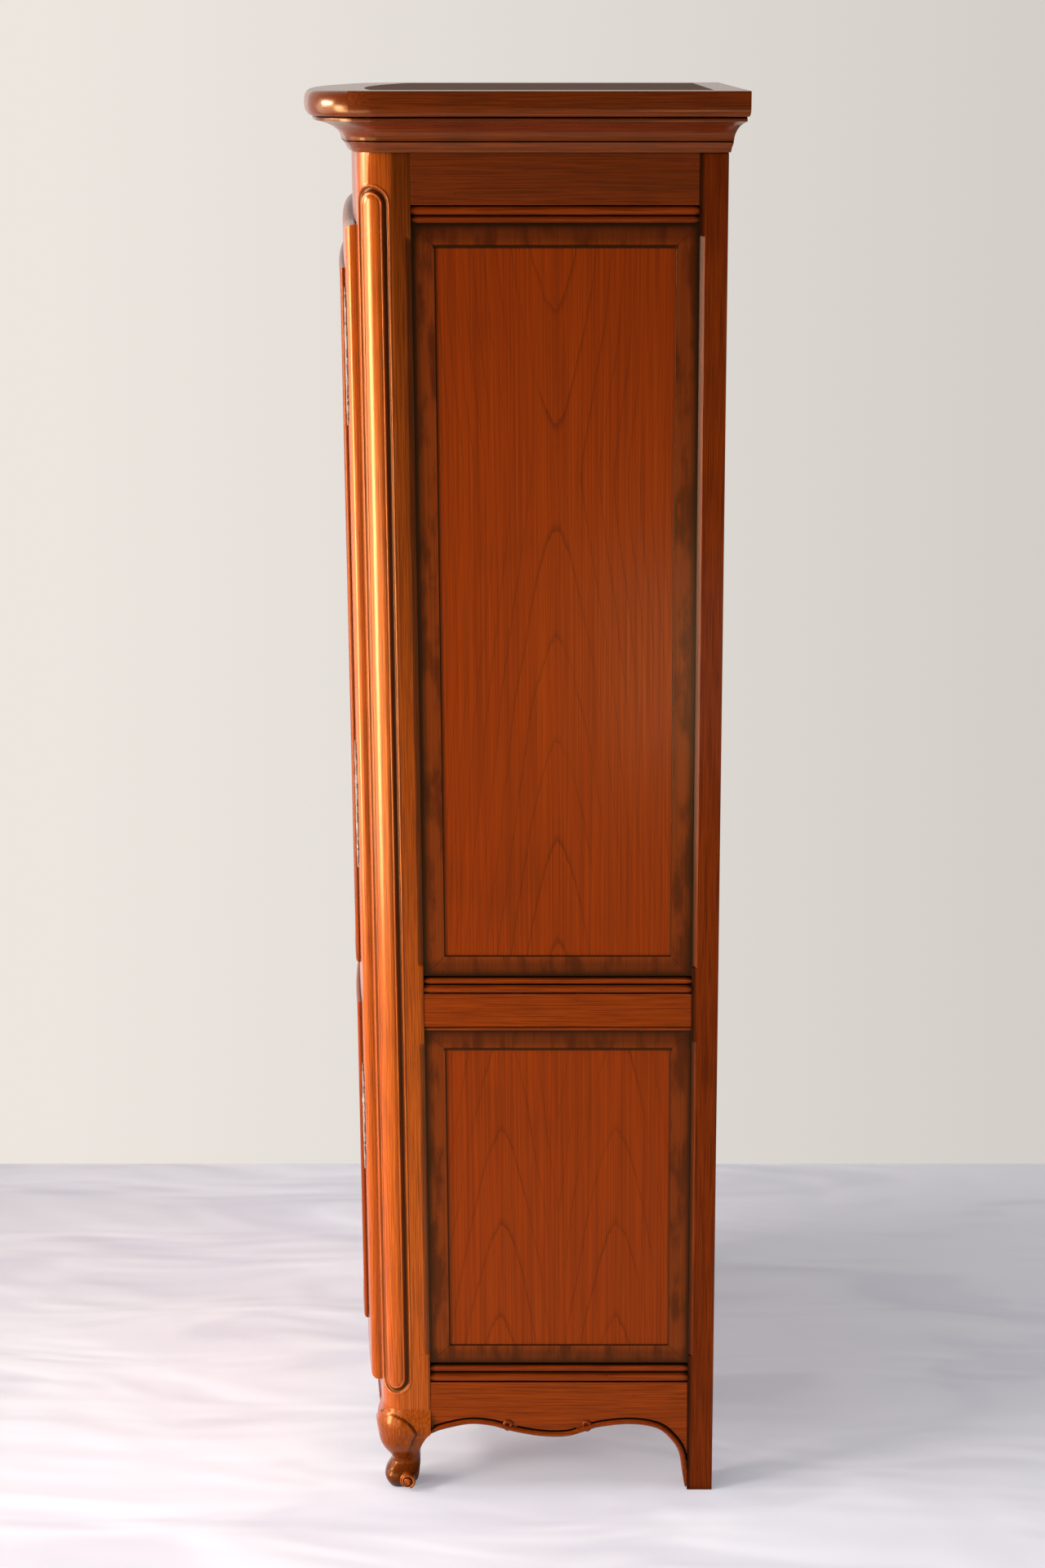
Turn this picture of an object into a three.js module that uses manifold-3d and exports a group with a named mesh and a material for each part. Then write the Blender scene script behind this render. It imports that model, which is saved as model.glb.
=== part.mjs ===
// A tall linen press in cherry: one bowed door, framed and panelled sides, scroll feet, moulded cornice.
// Millimetres, +Z up. The front faces -Y, the width lies along X, and the floor is at z = 0.
import * as THREE from "three";
import { mergeVertices } from "three/addons/utils/BufferGeometryUtils.js";
import Module from "manifold-3d";

const wasm = await Module();
wasm.setup();

// Driving dimensions
const press = { width: 820, depth: 500, height: 2065 };
const bowTurn = THREE.MathUtils.degToRad(9);
const cornerRadius = 35;
const seat = 0.3;
const overrun = 6;

const frontPost = { width: 54, depth: 74 };
const rearPost = { width: 40, depth: 38 };
const outline = {
  peakBelowCornice: 48,
  footHeight: 165,
  halfWidth: 36,
  grooveRadius: 4,
  grooveDepth: 2.4,
};
const chamfer = { width: 7, depth: 5, stop: 16 };

const rail = { thickness: 24, topHeight: 69, middleTop: 799, middleHeight: 51, bottomTop: 180.5 };
const groove = { depth: 8 };
const sidePanel = { thickness: 9, recess: 7, border: 31, lowerBorder: 30, fieldDrop: 2 };
const moulding = { height: 24, baseHeight: 27.5, proud: 1.5, rollShare: 0.56, waistShare: 0.35 };
const railBead = { height: 7, setBack: 2 };

const apron = { legFoot: 6, legWidth: 3, beadRadius: 4.6, beadSink: 2.2, frontArch: 112, frontLobe: 92 };
const foot = {
  height: 135,
  spread: 63,
  roundness: 2.7,
  voluteRadius: 11,
  voluteRise: 3,
  scrollProud: 6,
  scrollRoot: 16,
  scrollIn: 37,
  scrollHeight: 17,
  toeRadius: 8,
  toeIn: 9,
  toeHeight: 24,
};

const cornice = { height: 80, depthInside: 20, sideReach: 64, backReach: 25.2, boardThickness: 16 };
const corniceJoint = THREE.MathUtils.degToRad(22);

const door = {
  face: 14.5,
  back: 11.5,
  rounding: 9,
  gap: 3,
  hingeGap: 4,
  lockGap: 2,
  foot: 157,
  headBelowCornice: 98,
  archRise: 25,
};
const doorFrame = { stile: 70, topRail: 72, middleTop: 815, middleRail: 78, bottomRail: 80 };
const doorPanel = { back: 9, lip: 8, mouldingRise: 6.5, mouldingWidth: 17, fieldDrop: 3, bevel: 34 };

const board = { thickness: 18 };
const shelfHeights = [585, 1010, 1430];
const cleat = { width: 22, height: 24 };
const bottomBoardTop = 178;
const carcassTopDrop = 3;

const backFrame = { thickness: 20, inset: 3, topRail: 84, bottomFoot: 112, bottomRail: 86, panel: 8 };

const hinge = { barrelRadius: 6.5, pinRadius: 3, halfLength: 44, proud: 4, leaf: 1.4 };
const hingeFit = { finial: 11, boreGap: 0.3, leafDepth: 24, fromFoot: 203, fromSpring: 187 };
const escutcheon = { height: 192, width: 40, thickness: 2, inset: 34, lowerHeight: 168 };
const escutcheonPlace = { fromSpring: 182, fromFoot: 416 };
const lock = { width: 62, height: 84, thickness: 17, wall: 1.6, inset: 4, aboveMiddleRail: 244 };
const bolt = { length: 56, height: 16, thickness: 6, throw: 12, setBack: 0.4, play: 0.5 };
const keyhole = { radius: 4, slotWidth: 4, slotDrop: 13 };

// Places that follow from the sizes
const halfWidth = press.width / 2;
const halfDepth = press.depth / 2;
const corniceFoot = press.height - cornice.height;
const carcassHead = corniceFoot - seat;
const doorway = halfWidth - frontPost.width;
const postBack = -halfDepth + frontPost.depth;
const rearPostFront = halfDepth - rearPost.depth;
const topRailFoot = corniceFoot - rail.topHeight;
const middleRailFoot = rail.middleTop - rail.middleHeight;
const railBack = halfWidth - rail.thickness;
const panelFace = halfWidth - sidePanel.recess;
const panelBack = panelFace - sidePanel.thickness;
const doorSpring = corniceFoot - door.headBelowCornice;
const doorHingeEdge = -doorway + door.hingeGap;
const doorLockEdge = doorway - door.lockGap;
const lockHeight = doorFrame.middleTop + lock.aboveMiddleRail;
const upperPlateHeight = doorSpring - escutcheonPlace.fromSpring;
const lowerPlateHeight = door.foot + escutcheonPlace.fromFoot;
const lowestHinge = door.foot + hingeFit.fromFoot;
const highestHinge = doorSpring - hingeFit.fromSpring;
const hingeHeights = [lowestHinge, (lowestHinge + highestHinge + hingeFit.finial) / 2, highestHinge];
const bowStart = halfWidth - cornerRadius + cornerRadius * Math.sin(bowTurn);
const bowRadius = bowStart / Math.sin(bowTurn);
const cornerCentre = { x: halfWidth - cornerRadius, y: cornerRadius - halfDepth };
const bowCentreY = cornerCentre.y - cornerRadius * Math.cos(bowTurn) + bowRadius * Math.cos(bowTurn);
const frontReach = bowRadius - bowCentreY + cornice.sideReach;
const centreShift = (frontReach - halfDepth - cornice.backReach) / 2;

// Finishes
const finish = {
  frame: { color: 0x7a3114, roughness: 0.36, metalness: 0 },
  panel: { color: 0x8b3a14, roughness: 0.34, metalness: 0 },
  inside: { color: 0x9a6a42, roughness: 0.62, metalness: 0 },
  silvered: { color: 0xb9b2a2, roughness: 0.32, metalness: 0.9 },
  iron: { color: 0x4a4640, roughness: 0.5, metalness: 0.85 },
};

// Geometry helpers

function triangleVolume(points, a, b, c) {
  return points[a].dot(new THREE.Vector3().crossVectors(points[b], points[c])) / 6;
}

// A closed surface from points and triangles, turned so that its faces point out.
function closedSurface(points, triangles) {
  const volume = triangles.reduce((sum, [a, b, c]) => sum + triangleVolume(points, a, b, c), 0);
  const faces = volume < 0 ? triangles.map(([a, b, c]) => [a, c, b]) : triangles;
  const geometry = new THREE.BufferGeometry().setFromPoints(points);
  geometry.setIndex(faces.flat());
  return geometry;
}

// The triangles of a flat ring, wound the way the ring runs.
function ringCap(ring) {
  const normal = new THREE.Vector3();
  ring.forEach((point, i) => {
    const next = ring[(i + 1) % ring.length];
    normal.add(new THREE.Vector3().crossVectors(point, next));
  });
  normal.normalize();
  const side = new THREE.Vector3(normal.z, normal.x, normal.y).cross(normal).normalize();
  const up = new THREE.Vector3().crossVectors(normal, side);
  const flat = ring.map((point) => new THREE.Vector2(point.dot(side), point.dot(up)));
  return THREE.ShapeUtils.triangulateShape(flat, []).map(([a, b, c]) => {
    const turn = flat[b].clone().sub(flat[a]).cross(flat[c].clone().sub(flat[a]));
    return turn < 0 ? [a, c, b] : [a, b, c];
  });
}

// The triangles of a ring that runs along its foot and back along its head, joined foot to head.
function stripCap(ring) {
  const last = ring.length - 1;
  const columns = (ring.length - 2) / 2;
  return Array.from({ length: columns }, (_, i) => [
    [i, i + 1, last - i - 1],
    [i, last - i - 1, last - i],
  ]).flat();
}

// A solid through a row of rings with as many points each. A looped row closes on its first ring.
function loft(rings, { looped = false, cap = ringCap } = {}) {
  const count = rings[0].length;
  const spans = looped ? rings.length : rings.length - 1;
  const triangles = [];
  for (let span = 0; span < spans; span++) {
    const near = span * count;
    const far = ((span + 1) % rings.length) * count;
    for (let k = 0; k < count; k++) {
      const next = (k + 1) % count;
      triangles.push([near + k, near + next, far + next], [near + k, far + next, far + k]);
    }
  }
  if (!looped) {
    const end = (rings.length - 1) * count;
    cap(rings[0]).forEach(([a, b, c]) => triangles.push([a, c, b]));
    cap(rings[rings.length - 1]).forEach(([a, b, c]) => triangles.push([end + a, end + b, end + c]));
  }
  return closedSurface(rings.flat(), triangles);
}

function solid(geometry) {
  const bare = new THREE.BufferGeometry();
  bare.setAttribute("position", geometry.getAttribute("position"));
  if (geometry.index) bare.setIndex(geometry.index);
  const merged = mergeVertices(bare);
  const faces = [];
  for (let i = 0; i < merged.index.count; i += 3) {
    const [a, b, c] = [merged.index.getX(i), merged.index.getX(i + 1), merged.index.getX(i + 2)];
    if (a !== b && b !== c && c !== a) faces.push(a, b, c);
  }
  const vertProperties = merged.attributes.position.array;
  const triVerts = new Uint32Array(faces);
  return new wasm.Manifold(new wasm.Mesh({ numProp: 3, vertProperties, triVerts }));
}

function geometryOf(made) {
  const { vertProperties, triVerts } = made.getMesh();
  const geometry = new THREE.BufferGeometry();
  geometry.setAttribute("position", new THREE.BufferAttribute(vertProperties, 3));
  geometry.setIndex(new THREE.BufferAttribute(triVerts, 1));
  return geometry;
}

function joined(geometries) {
  return geometryOf(geometries.map(solid).reduce((whole, piece) => whole.add(piece)));
}

function cut(geometry, cutters) {
  const left = cutters.map(solid).reduce((whole, cutter) => whole.subtract(cutter), solid(geometry));
  return geometryOf(left);
}

function box([x0, x1], [y0, y1], [z0, z1]) {
  const made = new THREE.BoxGeometry(x1 - x0, y1 - y0, z1 - z0);
  return made.translate((x0 + x1) / 2, (y0 + y1) / 2, (z0 + z1) / 2);
}

function shapeOf(points) {
  return new THREE.Shape(points.map(([a, b]) => new THREE.Vector2(a, b)));
}

// An outline drawn in (x, y) and raised along Z.
function raised(shape, [z0, z1], curveSegments = 6) {
  const made = new THREE.ExtrudeGeometry(shape, { depth: z1 - z0, bevelEnabled: false, curveSegments });
  return made.translate(0, 0, z0);
}

// An outline drawn in (y, z) and drawn out along X.
function drawnAlongX(shape, [x0, x1], curveSegments = 6) {
  const turn = new THREE.Matrix4().makeBasis(
    new THREE.Vector3(0, 1, 0),
    new THREE.Vector3(0, 0, 1),
    new THREE.Vector3(1, 0, 0),
  );
  return raised(shape, [x0, x1], curveSegments).applyMatrix4(turn);
}

// An outline drawn in (x, z) and drawn out along Y.
function drawnAlongY(shape, [y0, y1], curveSegments = 6) {
  return raised(shape, [-y1, -y0], curveSegments).rotateX(Math.PI / 2);
}

function turned(profile, segments) {
  const points = profile.map(([radius, height]) => new THREE.Vector2(radius, height));
  return new THREE.LatheGeometry(points, segments).rotateX(Math.PI / 2);
}

// A round bar along a path that lies on a face, given the face's normal at each point.
function barAlong(stations, radius, { looped = false, sides = 8 } = {}) {
  const rings = stations.map(({ point, normal }, i) => {
    const wrap = (k) => (looped ? (k + stations.length) % stations.length : k);
    const before = stations[Math.max(wrap(i - 1), 0)].point;
    const after = stations[Math.min(wrap(i + 1), stations.length - 1)].point;
    const along = after.clone().sub(before).normalize();
    const across = new THREE.Vector3().crossVectors(along, normal).normalize();
    const out = new THREE.Vector3().crossVectors(across, along);
    return Array.from({ length: sides }, (_, k) => {
      const turn = (2 * Math.PI * k) / sides;
      return point
        .clone()
        .addScaledVector(across, radius * Math.cos(turn))
        .addScaledVector(out, radius * Math.sin(turn));
    });
  });
  return loft(rings, { looped });
}

function meshOf(name, geometry, look) {
  const mesh = new THREE.Mesh(geometry, new THREE.MeshStandardMaterial(look));
  mesh.name = name;
  return mesh;
}

function steps(count) {
  return Array.from({ length: count + 1 }, (_, i) => i / count);
}

// Plan of the front: flat side, rounded corner, then one shallow bow across the whole width

function cornerStation(turn) {
  const normal = new THREE.Vector3(Math.cos(turn), -Math.sin(turn), 0);
  const point = new THREE.Vector3(cornerCentre.x, cornerCentre.y, 0);
  return { point: point.addScaledVector(normal, cornerRadius), normal };
}

function bowStation(turn) {
  const normal = new THREE.Vector3(Math.sin(turn), -Math.cos(turn), 0);
  return { point: new THREE.Vector3(0, bowCentreY, 0).addScaledVector(normal, bowRadius), normal };
}

function mirroredStation({ point, normal }) {
  const flip = new THREE.Vector3(-1, 1, 1);
  return { point: point.clone().multiply(flip), normal: normal.clone().multiply(flip) };
}

// Where the bowed front lies at x, moved out by some distance.
function frontAt(x, out = 0) {
  return bowCentreY - Math.sqrt((bowRadius + out) ** 2 - x ** 2);
}

// A board that follows the bow. Its skins run from back to front, each an outline with its own lie.
function bowedBoard(columns, skins) {
  const rings = skins.map(({ left, right, foot: low, head, lie }) => {
    const places = steps(columns).map((share) => left + (right - left) * share);
    const along = (height) => places.map((x) => new THREE.Vector3(x, lie(x), height(x)));
    return [...along(low), ...along(head).reverse()];
  });
  return loft(rings, { cap: stripCap });
}

const level = (height) => () => height;
const bowed = (out) => (x) => frontAt(x, out);

// Front post with its scroll foot

const cornerLength = cornerRadius * (Math.PI / 2 - bowTurn);
const outlineCentre = cornerLength / 2;

// A point on the post's outer faces, at a distance round the corner from where the bow ends.
function postStation(distance, height) {
  let station;
  if (distance < 0) {
    station = bowStation(bowTurn + distance / bowRadius);
  } else if (distance < cornerLength) {
    station = cornerStation(Math.PI / 2 - bowTurn - distance / cornerRadius);
  } else {
    station = cornerStation(0);
    station.point.y += distance - cornerLength;
  }
  station.point.z = height;
  return station;
}

// Evenly spaced spots from one corner to the next, without the last.
function edgeSpots([x0, y0], [x1, y1], count) {
  return steps(count)
    .slice(0, -1)
    .map((share) => [x0 + (x1 - x0) * share, y0 + (y1 - y0) * share]);
}

function postSection() {
  const front = steps(2).map((share) => doorway + (bowStart - doorway) * share);
  const corner = steps(8).map((share) => cornerStation((Math.PI / 2 - bowTurn) * (1 - share)).point);
  const outerBack = [halfWidth, postBack];
  const innerBack = [doorway, postBack];
  const innerFront = [doorway, frontAt(doorway)];
  return [
    ...front.slice(0, -1).map((x) => [x, frontAt(x)]),
    ...corner.map((point) => [point.x, point.y]),
    ...edgeSpots([halfWidth, cornerCentre.y], outerBack, 2).slice(1),
    ...edgeSpots(outerBack, innerBack, 3),
    ...edgeSpots(innerBack, innerFront, 3),
  ];
}

// Each row of the foot: height, reach past the body's faces, size as a share of the post's depth,
// and how far the row has turned from a round-cornered square into the post's own section.
const footShares = [
  [0, -0.143, 0.473, 0],
  [0.044, -0.079, 0.608, 0],
  [0.111, -0.032, 0.716, 0],
  [0.185, -0.024, 0.757, 0],
  [0.267, -0.079, 0.73, 0],
  [0.341, -0.151, 0.676, 0.1],
  [0.407, -0.183, 0.645, 0.2],
  [0.481, -0.127, 0.682, 0.3],
  [0.563, -0.037, 0.773, 0.5],
  [0.615, 0.003, 0.861, 0.7],
  [0.667, 0.041, 0.981, 0.9],
  [0.719, 0.071, 1.058, 1],
  [0.77, 0.095, 1.081, 1],
  [0.83, 0.083, 1.07, 1],
  [0.911, 0.057, 1.049, 1],
  [1, 0, 1, 1],
  [1.12, -0.16, 0.6, 0.9],
];

// The size of one row along X and Y, and its outer corner's place.
function footBlock([, reachShare, sizeShare]) {
  const reach = reachShare * foot.spread;
  const deep = sizeShare * frontPost.depth;
  const wide = Math.min(deep, frontPost.width + reach);
  return { wide, deep, side: halfWidth + reach, front: -halfDepth - reach };
}

function footRing(section, row) {
  const { wide, deep, side, front } = footBlock(row);
  const middle = new THREE.Vector2(side - wide / 2, front + deep / 2);
  return section.map(([x, y]) => {
    const own = new THREE.Vector2((x - doorway) / frontPost.width, (y - postBack) / frontPost.depth);
    const square = new THREE.Vector2(side - wide + own.x * wide, front + deep + own.y * deep);
    const turn = Math.atan2(own.y * 2 + 1, own.x * 2 - 1);
    const unit = new THREE.Vector2(Math.cos(turn), Math.sin(turn));
    const length = Math.abs(unit.x) ** foot.roundness + Math.abs(unit.y) ** foot.roundness;
    unit.divideScalar(length ** (1 / foot.roundness));
    const round = new THREE.Vector2((unit.x * wide) / 2, (unit.y * deep) / 2).add(middle);
    const spot = round.lerp(square, row[3]);
    return new THREE.Vector3(spot.x, spot.y, row[0] * foot.height);
  });
}

// The domed end of a scroll: radius as a share of the scroll's, and drop as a share of the dome's rise.
const buttonShares = [
  [1, 1],
  [0.8, 0.3],
  [0.35, 0],
  [0, 0],
];

// Scrolls of the foot: one on the side, one on the front, and a toe curl at the corner.
function footScrolls() {
  const { side, front } = footBlock(footShares[2]);
  const proud = foot.scrollProud + foot.scrollRoot;
  const button = buttonShares.map(([wide, drop]) => [
    foot.voluteRadius * wide,
    proud - foot.voluteRise * drop,
  ]);
  button.unshift([0, 0], [foot.voluteRadius, 0]);
  const sideScroll = turned(button, 14).rotateY(Math.PI / 2);
  sideScroll.translate(halfWidth - foot.scrollRoot, foot.scrollIn - halfDepth, foot.scrollHeight);
  const frontScroll = turned(button, 14).rotateX(Math.PI / 2);
  frontScroll.translate(halfWidth - foot.scrollIn, foot.scrollRoot - halfDepth, foot.scrollHeight);
  const toe = new THREE.SphereGeometry(foot.toeRadius, 12, 8);
  toe.translate(side - foot.toeIn, front + foot.toeIn, foot.toeHeight);
  return [sideScroll, frontScroll, toe];
}

// The moulded outline of the post: a groove round a tall field with a round head and foot.
function postOutline() {
  const high = corniceFoot - outline.peakBelowCornice - outline.halfWidth;
  const low = outline.footHeight + outline.halfWidth;
  const sink = outline.grooveRadius - outline.grooveDepth;
  const arc = (height, start) =>
    steps(18).map((share) => {
      const turn = start + Math.PI * share;
      return postStation(
        outlineCentre + outline.halfWidth * Math.cos(turn),
        height + outline.halfWidth * Math.sin(turn),
      );
    });
  const stations = [...arc(high, 0), ...arc(low, Math.PI)];
  stations.forEach(({ point, normal }) => point.addScaledVector(normal, sink));
  return barAlong(stations, outline.grooveRadius, { looped: true });
}

// A groove along a post that takes the edges of the side panels.
function panelSlot(postFaceY, inward) {
  const reach = [postFaceY - inward * overrun, postFaceY + inward * groove.depth].sort((a, b) => a - b);
  const ends = [rail.bottomTop - groove.depth, topRailFoot + groove.depth];
  return box([panelBack - seat, panelFace + seat], reach, ends);
}

// The stopped chamfers of a post beside the two panels. The wedge opens towards the panel.
function panelChamfers(postFaceY, inward) {
  const wedge = shapeOf([
    [halfWidth - chamfer.depth, postFaceY - inward * overrun],
    [halfWidth - chamfer.depth, postFaceY],
    [halfWidth, postFaceY + inward * chamfer.width],
    [halfWidth + overrun, postFaceY + inward * chamfer.width],
    [halfWidth + overrun, postFaceY - inward * overrun],
  ]);
  const lowerFoot = rail.bottomTop + moulding.baseHeight + chamfer.stop;
  const lowerHead = middleRailFoot - railBead.height - chamfer.stop;
  const upperFoot = rail.middleTop + moulding.height + chamfer.stop;
  const upperHead = topRailFoot - moulding.height - chamfer.stop;
  return [
    [lowerFoot, lowerHead],
    [upperFoot, upperHead],
  ].map((ends) => raised(wedge, ends));
}

function boltMortise() {
  const y = [lockBoltBack - bolt.thickness - 2 * bolt.play, lockBoltBack + 2 * bolt.play];
  const z = [lockHeight - bolt.height / 2 - 2 * bolt.play, lockHeight + bolt.height / 2 + 2 * bolt.play];
  return box([doorway - overrun, doorway + bolt.throw + 2 * bolt.play], y, z);
}

function frontPostSolid(withMortise) {
  const section = postSection();
  const ringAt = (z) => section.map(([x, y]) => new THREE.Vector3(x, y, z));
  const shaft = loft([ringAt(foot.height), ringAt(carcassHead)]);
  const lower = loft(footShares.map((row) => footRing(section, row)));
  const whole = joined([shaft, lower, ...footScrolls()]);
  const cutters = [postOutline(), panelSlot(postBack, -1), ...panelChamfers(postBack, -1)];
  const ground = box(
    [doorway - press.depth, halfWidth + press.depth],
    [-press.depth, press.depth],
    [-press.depth, 0],
  );
  cutters.push(ground);
  if (withMortise) cutters.push(boltMortise());
  return cut(whole, cutters);
}

function rearPostSolid() {
  const innerFace = halfWidth - rearPost.width;
  const shaft = box([innerFace, halfWidth], [rearPostFront, halfDepth], [0, carcassHead]);
  const slotFoot = backFrame.bottomFoot + backFrame.bottomRail - groove.depth;
  const slotHead = corniceFoot - backFrame.topRail + groove.depth;
  const backSlot = box(
    [innerFace - overrun, innerFace + groove.depth],
    [backPanelY[0] - seat, backPanelY[1] + seat],
    [slotFoot, slotHead],
  );
  return cut(shaft, [panelSlot(rearPostFront, 1), ...panelChamfers(rearPostFront, 1), backSlot]);
}

// Side frame: rails, panels and the applied mouldings

const sideSpan = [postBack + seat, rearPostFront - seat];
const sideLength = sideSpan[1] - sideSpan[0];

// A slot along a side rail, between two heights, that takes the edge of a side panel.
function sideSlot(reach) {
  const run = [sideSpan[0] - overrun, sideSpan[1] + overrun];
  return box([panelBack - seat, panelFace + seat], run, reach);
}

function railSlot(height, downward) {
  const reach = [height + downward * overrun, height - downward * groove.depth];
  return sideSlot(reach.sort((a, b) => a - b));
}

function sideTopRail() {
  const blank = box([railBack, halfWidth], sideSpan, [topRailFoot, carcassHead]);
  return cut(blank, [railSlot(topRailFoot, -1)]);
}

function middleRailLowerSlot() {
  const low = middleRailFoot - railBead.height - overrun;
  return sideSlot([low, middleRailFoot + groove.depth]);
}

function sideMiddleRail() {
  const beadFace = halfWidth - railBead.setBack;
  const beadRadius = railBead.height / 2;
  const section = new THREE.Shape();
  section.moveTo(railBack, rail.middleTop);
  section.lineTo(railBack, middleRailFoot);
  section.lineTo(panelFace + seat, middleRailFoot);
  section.lineTo(panelFace + seat, middleRailFoot - railBead.height);
  section.lineTo(beadFace - beadRadius, middleRailFoot - railBead.height);
  const beadCentre = middleRailFoot - beadRadius;
  section.absarc(beadFace - beadRadius, beadCentre, beadRadius, -Math.PI / 2, Math.PI / 2, false);
  section.lineTo(halfWidth, middleRailFoot);
  section.lineTo(halfWidth, rail.middleTop);
  return cut(drawnAlongY(section, sideSpan), [railSlot(rail.middleTop, 1), middleRailLowerSlot()]);
}

// Each row is a place along the side rail, from the front post to the rear one, and a height above
// the floor as a share of the rail's top.
const apronArchShares = [
  [
    [0, 0.525],
    [0.05, 0.568],
    [0.15, 0.614],
    [0.235, 0.599],
    [0.308, 0.553],
  ],
  [
    [0.308, 0.553],
    [0.36, 0.527],
    [0.42, 0.505],
    [0.478, 0.497],
    [0.54, 0.505],
    [0.6, 0.546],
  ],
  [
    [0.6, 0.546],
    [0.66, 0.588],
    [0.78, 0.614],
    [0.88, 0.576],
    [0.934, 0.479],
    [0.967, 0.36],
    [0.98, 0.2],
  ],
];

function apronArches() {
  return apronArchShares.map((shares) => {
    const points = shares.map(
      ([along, up]) => new THREE.Vector2(sideSpan[0] + sideLength * along, rail.bottomTop * up),
    );
    return new THREE.SplineCurve(points);
  });
}

// The round bead that follows one arch of the apron, laid on the outer face just inside the edge.
function archBead(arch) {
  const spots = arch.getPoints(9);
  const outward = new THREE.Vector3(1, 0, 0);
  const stations = spots.map((spot, i) => {
    const before = spots[Math.max(i - 1, 0)];
    const after = spots[Math.min(i + 1, spots.length - 1)];
    const along = after.clone().sub(before).normalize();
    const upward = new THREE.Vector2(-along.y, along.x).multiplyScalar(apron.beadRadius);
    const place = spot.clone().add(upward);
    return {
      point: new THREE.Vector3(halfWidth - apron.beadSink, place.x, place.y),
      normal: outward,
    };
  });
  return barAlong(stations, apron.beadRadius, { sides: 6 });
}

function sideBottomRail() {
  const arches = apronArches();
  const edge = arches.flatMap((arch, i) => arch.getPoints(10).slice(i ? 1 : 0));
  const legEnd = [
    new THREE.Vector2(sideSpan[1] - apron.legWidth, apron.legFoot),
    new THREE.Vector2(sideSpan[1], apron.legFoot),
  ];
  const shape = new THREE.Shape([
    new THREE.Vector2(sideSpan[0], rail.bottomTop),
    ...edge,
    ...legEnd,
    new THREE.Vector2(sideSpan[1], rail.bottomTop),
  ]);
  const blank = drawnAlongX(shape, [railBack, halfWidth]);
  const beads = arches.map(archBead);
  const across = [railBack - overrun, halfWidth + overrun * 2];
  const ends = [
    [sideSpan[0] - press.depth, sideSpan[0]],
    [sideSpan[1], sideSpan[1] + press.depth],
  ].map((run) => box(across, run, [0, press.depth]));
  return cut(joined([blank, ...beads]), [...ends, railSlot(rail.bottomTop, 1)]);
}

function sidePanelSolid(low, high, border, lowCover, highCover) {
  const tongue = groove.depth - seat;
  const plate = box(
    [panelBack, panelFace],
    [postBack - tongue, rearPostFront + tongue],
    [low - tongue, high + tongue],
  );
  const field = box(
    [panelFace - sidePanel.fieldDrop, panelFace + overrun],
    [postBack + border, rearPostFront - border],
    [low + lowCover + border, high - highCover - border],
  );
  return cut(plate, [field]);
}

// Two rolls, a large one against the rail and a small one over the panel.
function rollSection(height, toPanel) {
  const back = panelFace + seat;
  const front = halfWidth + moulding.proud;
  const large = (height * moulding.rollShare) / 2;
  const small = (height - seat - 2 * large) / 2;
  const waist = back + (front - back) * moulding.waistShare;
  const arc = (centre, radius, reach) =>
    steps(6).map((share) => {
      const turn = Math.PI / 2 - Math.PI * share;
      return [waist + (reach - waist) * Math.cos(turn), centre + radius * Math.sin(turn)];
    });
  const points = [
    [back, 0],
    ...arc(-large, large, front),
    ...arc(-2 * large - small, small, front - moulding.proud * 2).slice(1),
    [back, -2 * (large + small)],
  ];
  return points.map(([x, z]) => [x, toPanel * z]);
}

function sideMouldingSolid(railEdge, height, toPanel) {
  const section = rollSection(height, toPanel).map(([x, z]) => [x, railEdge - toPanel * seat + z]);
  const rings = sideSpan.map((y) => section.map(([x, z]) => new THREE.Vector3(x, y, z)));
  return loft(rings);
}

// Cornice

// The moulding from its foot up: reach beyond the body as a share of its full reach, and height.
const coveShares = [
  [0.075, 0],
  [0.13, 0.09],
  [0.215, 0.163],
  [0.225, 0.2],
  [0.29, 0.3],
  [0.42, 0.4],
  [0.6, 0.475],
  [0.83, 0.5125],
  [0.83, 0.575],
];
const sideFasciaShares = [
  [0.93, 0.6],
  [0.985, 0.66],
  [1, 0.74],
  [1, 1],
];
const roundNoseShares = [
  [0.92, 0.59],
  [0.975, 0.65],
  [1, 0.76],
  [0.985, 0.88],
  [0.93, 0.97],
  [0.84, 1],
];

function corniceRing({ point, normal }, nose, reachScale = 1) {
  const inside = point.clone().addScaledVector(normal, -cornice.depthInside);
  const outer = [...coveShares, ...nose].map(([out, up]) => {
    const spot = point.clone().addScaledVector(normal, out * cornice.sideReach * reachScale);
    spot.z = corniceFoot + up * cornice.height;
    return spot;
  });
  const insideLow = inside.clone().setZ(corniceFoot);
  const insideHigh = inside.clone().setZ(press.height);
  return [insideLow, ...outer, insideHigh];
}

function corniceFront() {
  const sweep = Math.PI / 2 - bowTurn - corniceJoint;
  const corner = steps(7).map((share) => cornerStation(corniceJoint + sweep * share));
  const bow = steps(14).map((share) => bowStation(bowTurn * (1 - 2 * share)));
  const far = corner.map(mirroredStation).reverse();
  const stations = [...corner, ...bow.slice(1, -1), ...far];
  return loft(stations.map((station) => corniceRing(station, roundNoseShares)));
}

// The back corner is mitred: the side's reach and the back's smaller one meet on one line.
function backMitre(shift) {
  return (spot) => {
    const out = spot.x - halfWidth;
    const back = out > 0 ? (out * cornice.backReach) / cornice.sideReach : out;
    return spot.setY(halfDepth + back + shift);
  };
}

function corniceSide() {
  const start = corniceJoint - seat / (cornerRadius + cornice.sideReach);
  const corner = steps(4).map((share) => cornerStation(start * (1 - share)));
  const rings = corner.map((station) => corniceRing(station, sideFasciaShares));
  rings.push(corniceRing(cornerStation(0), sideFasciaShares).map(backMitre(-seat)));
  return loft(rings);
}

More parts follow.
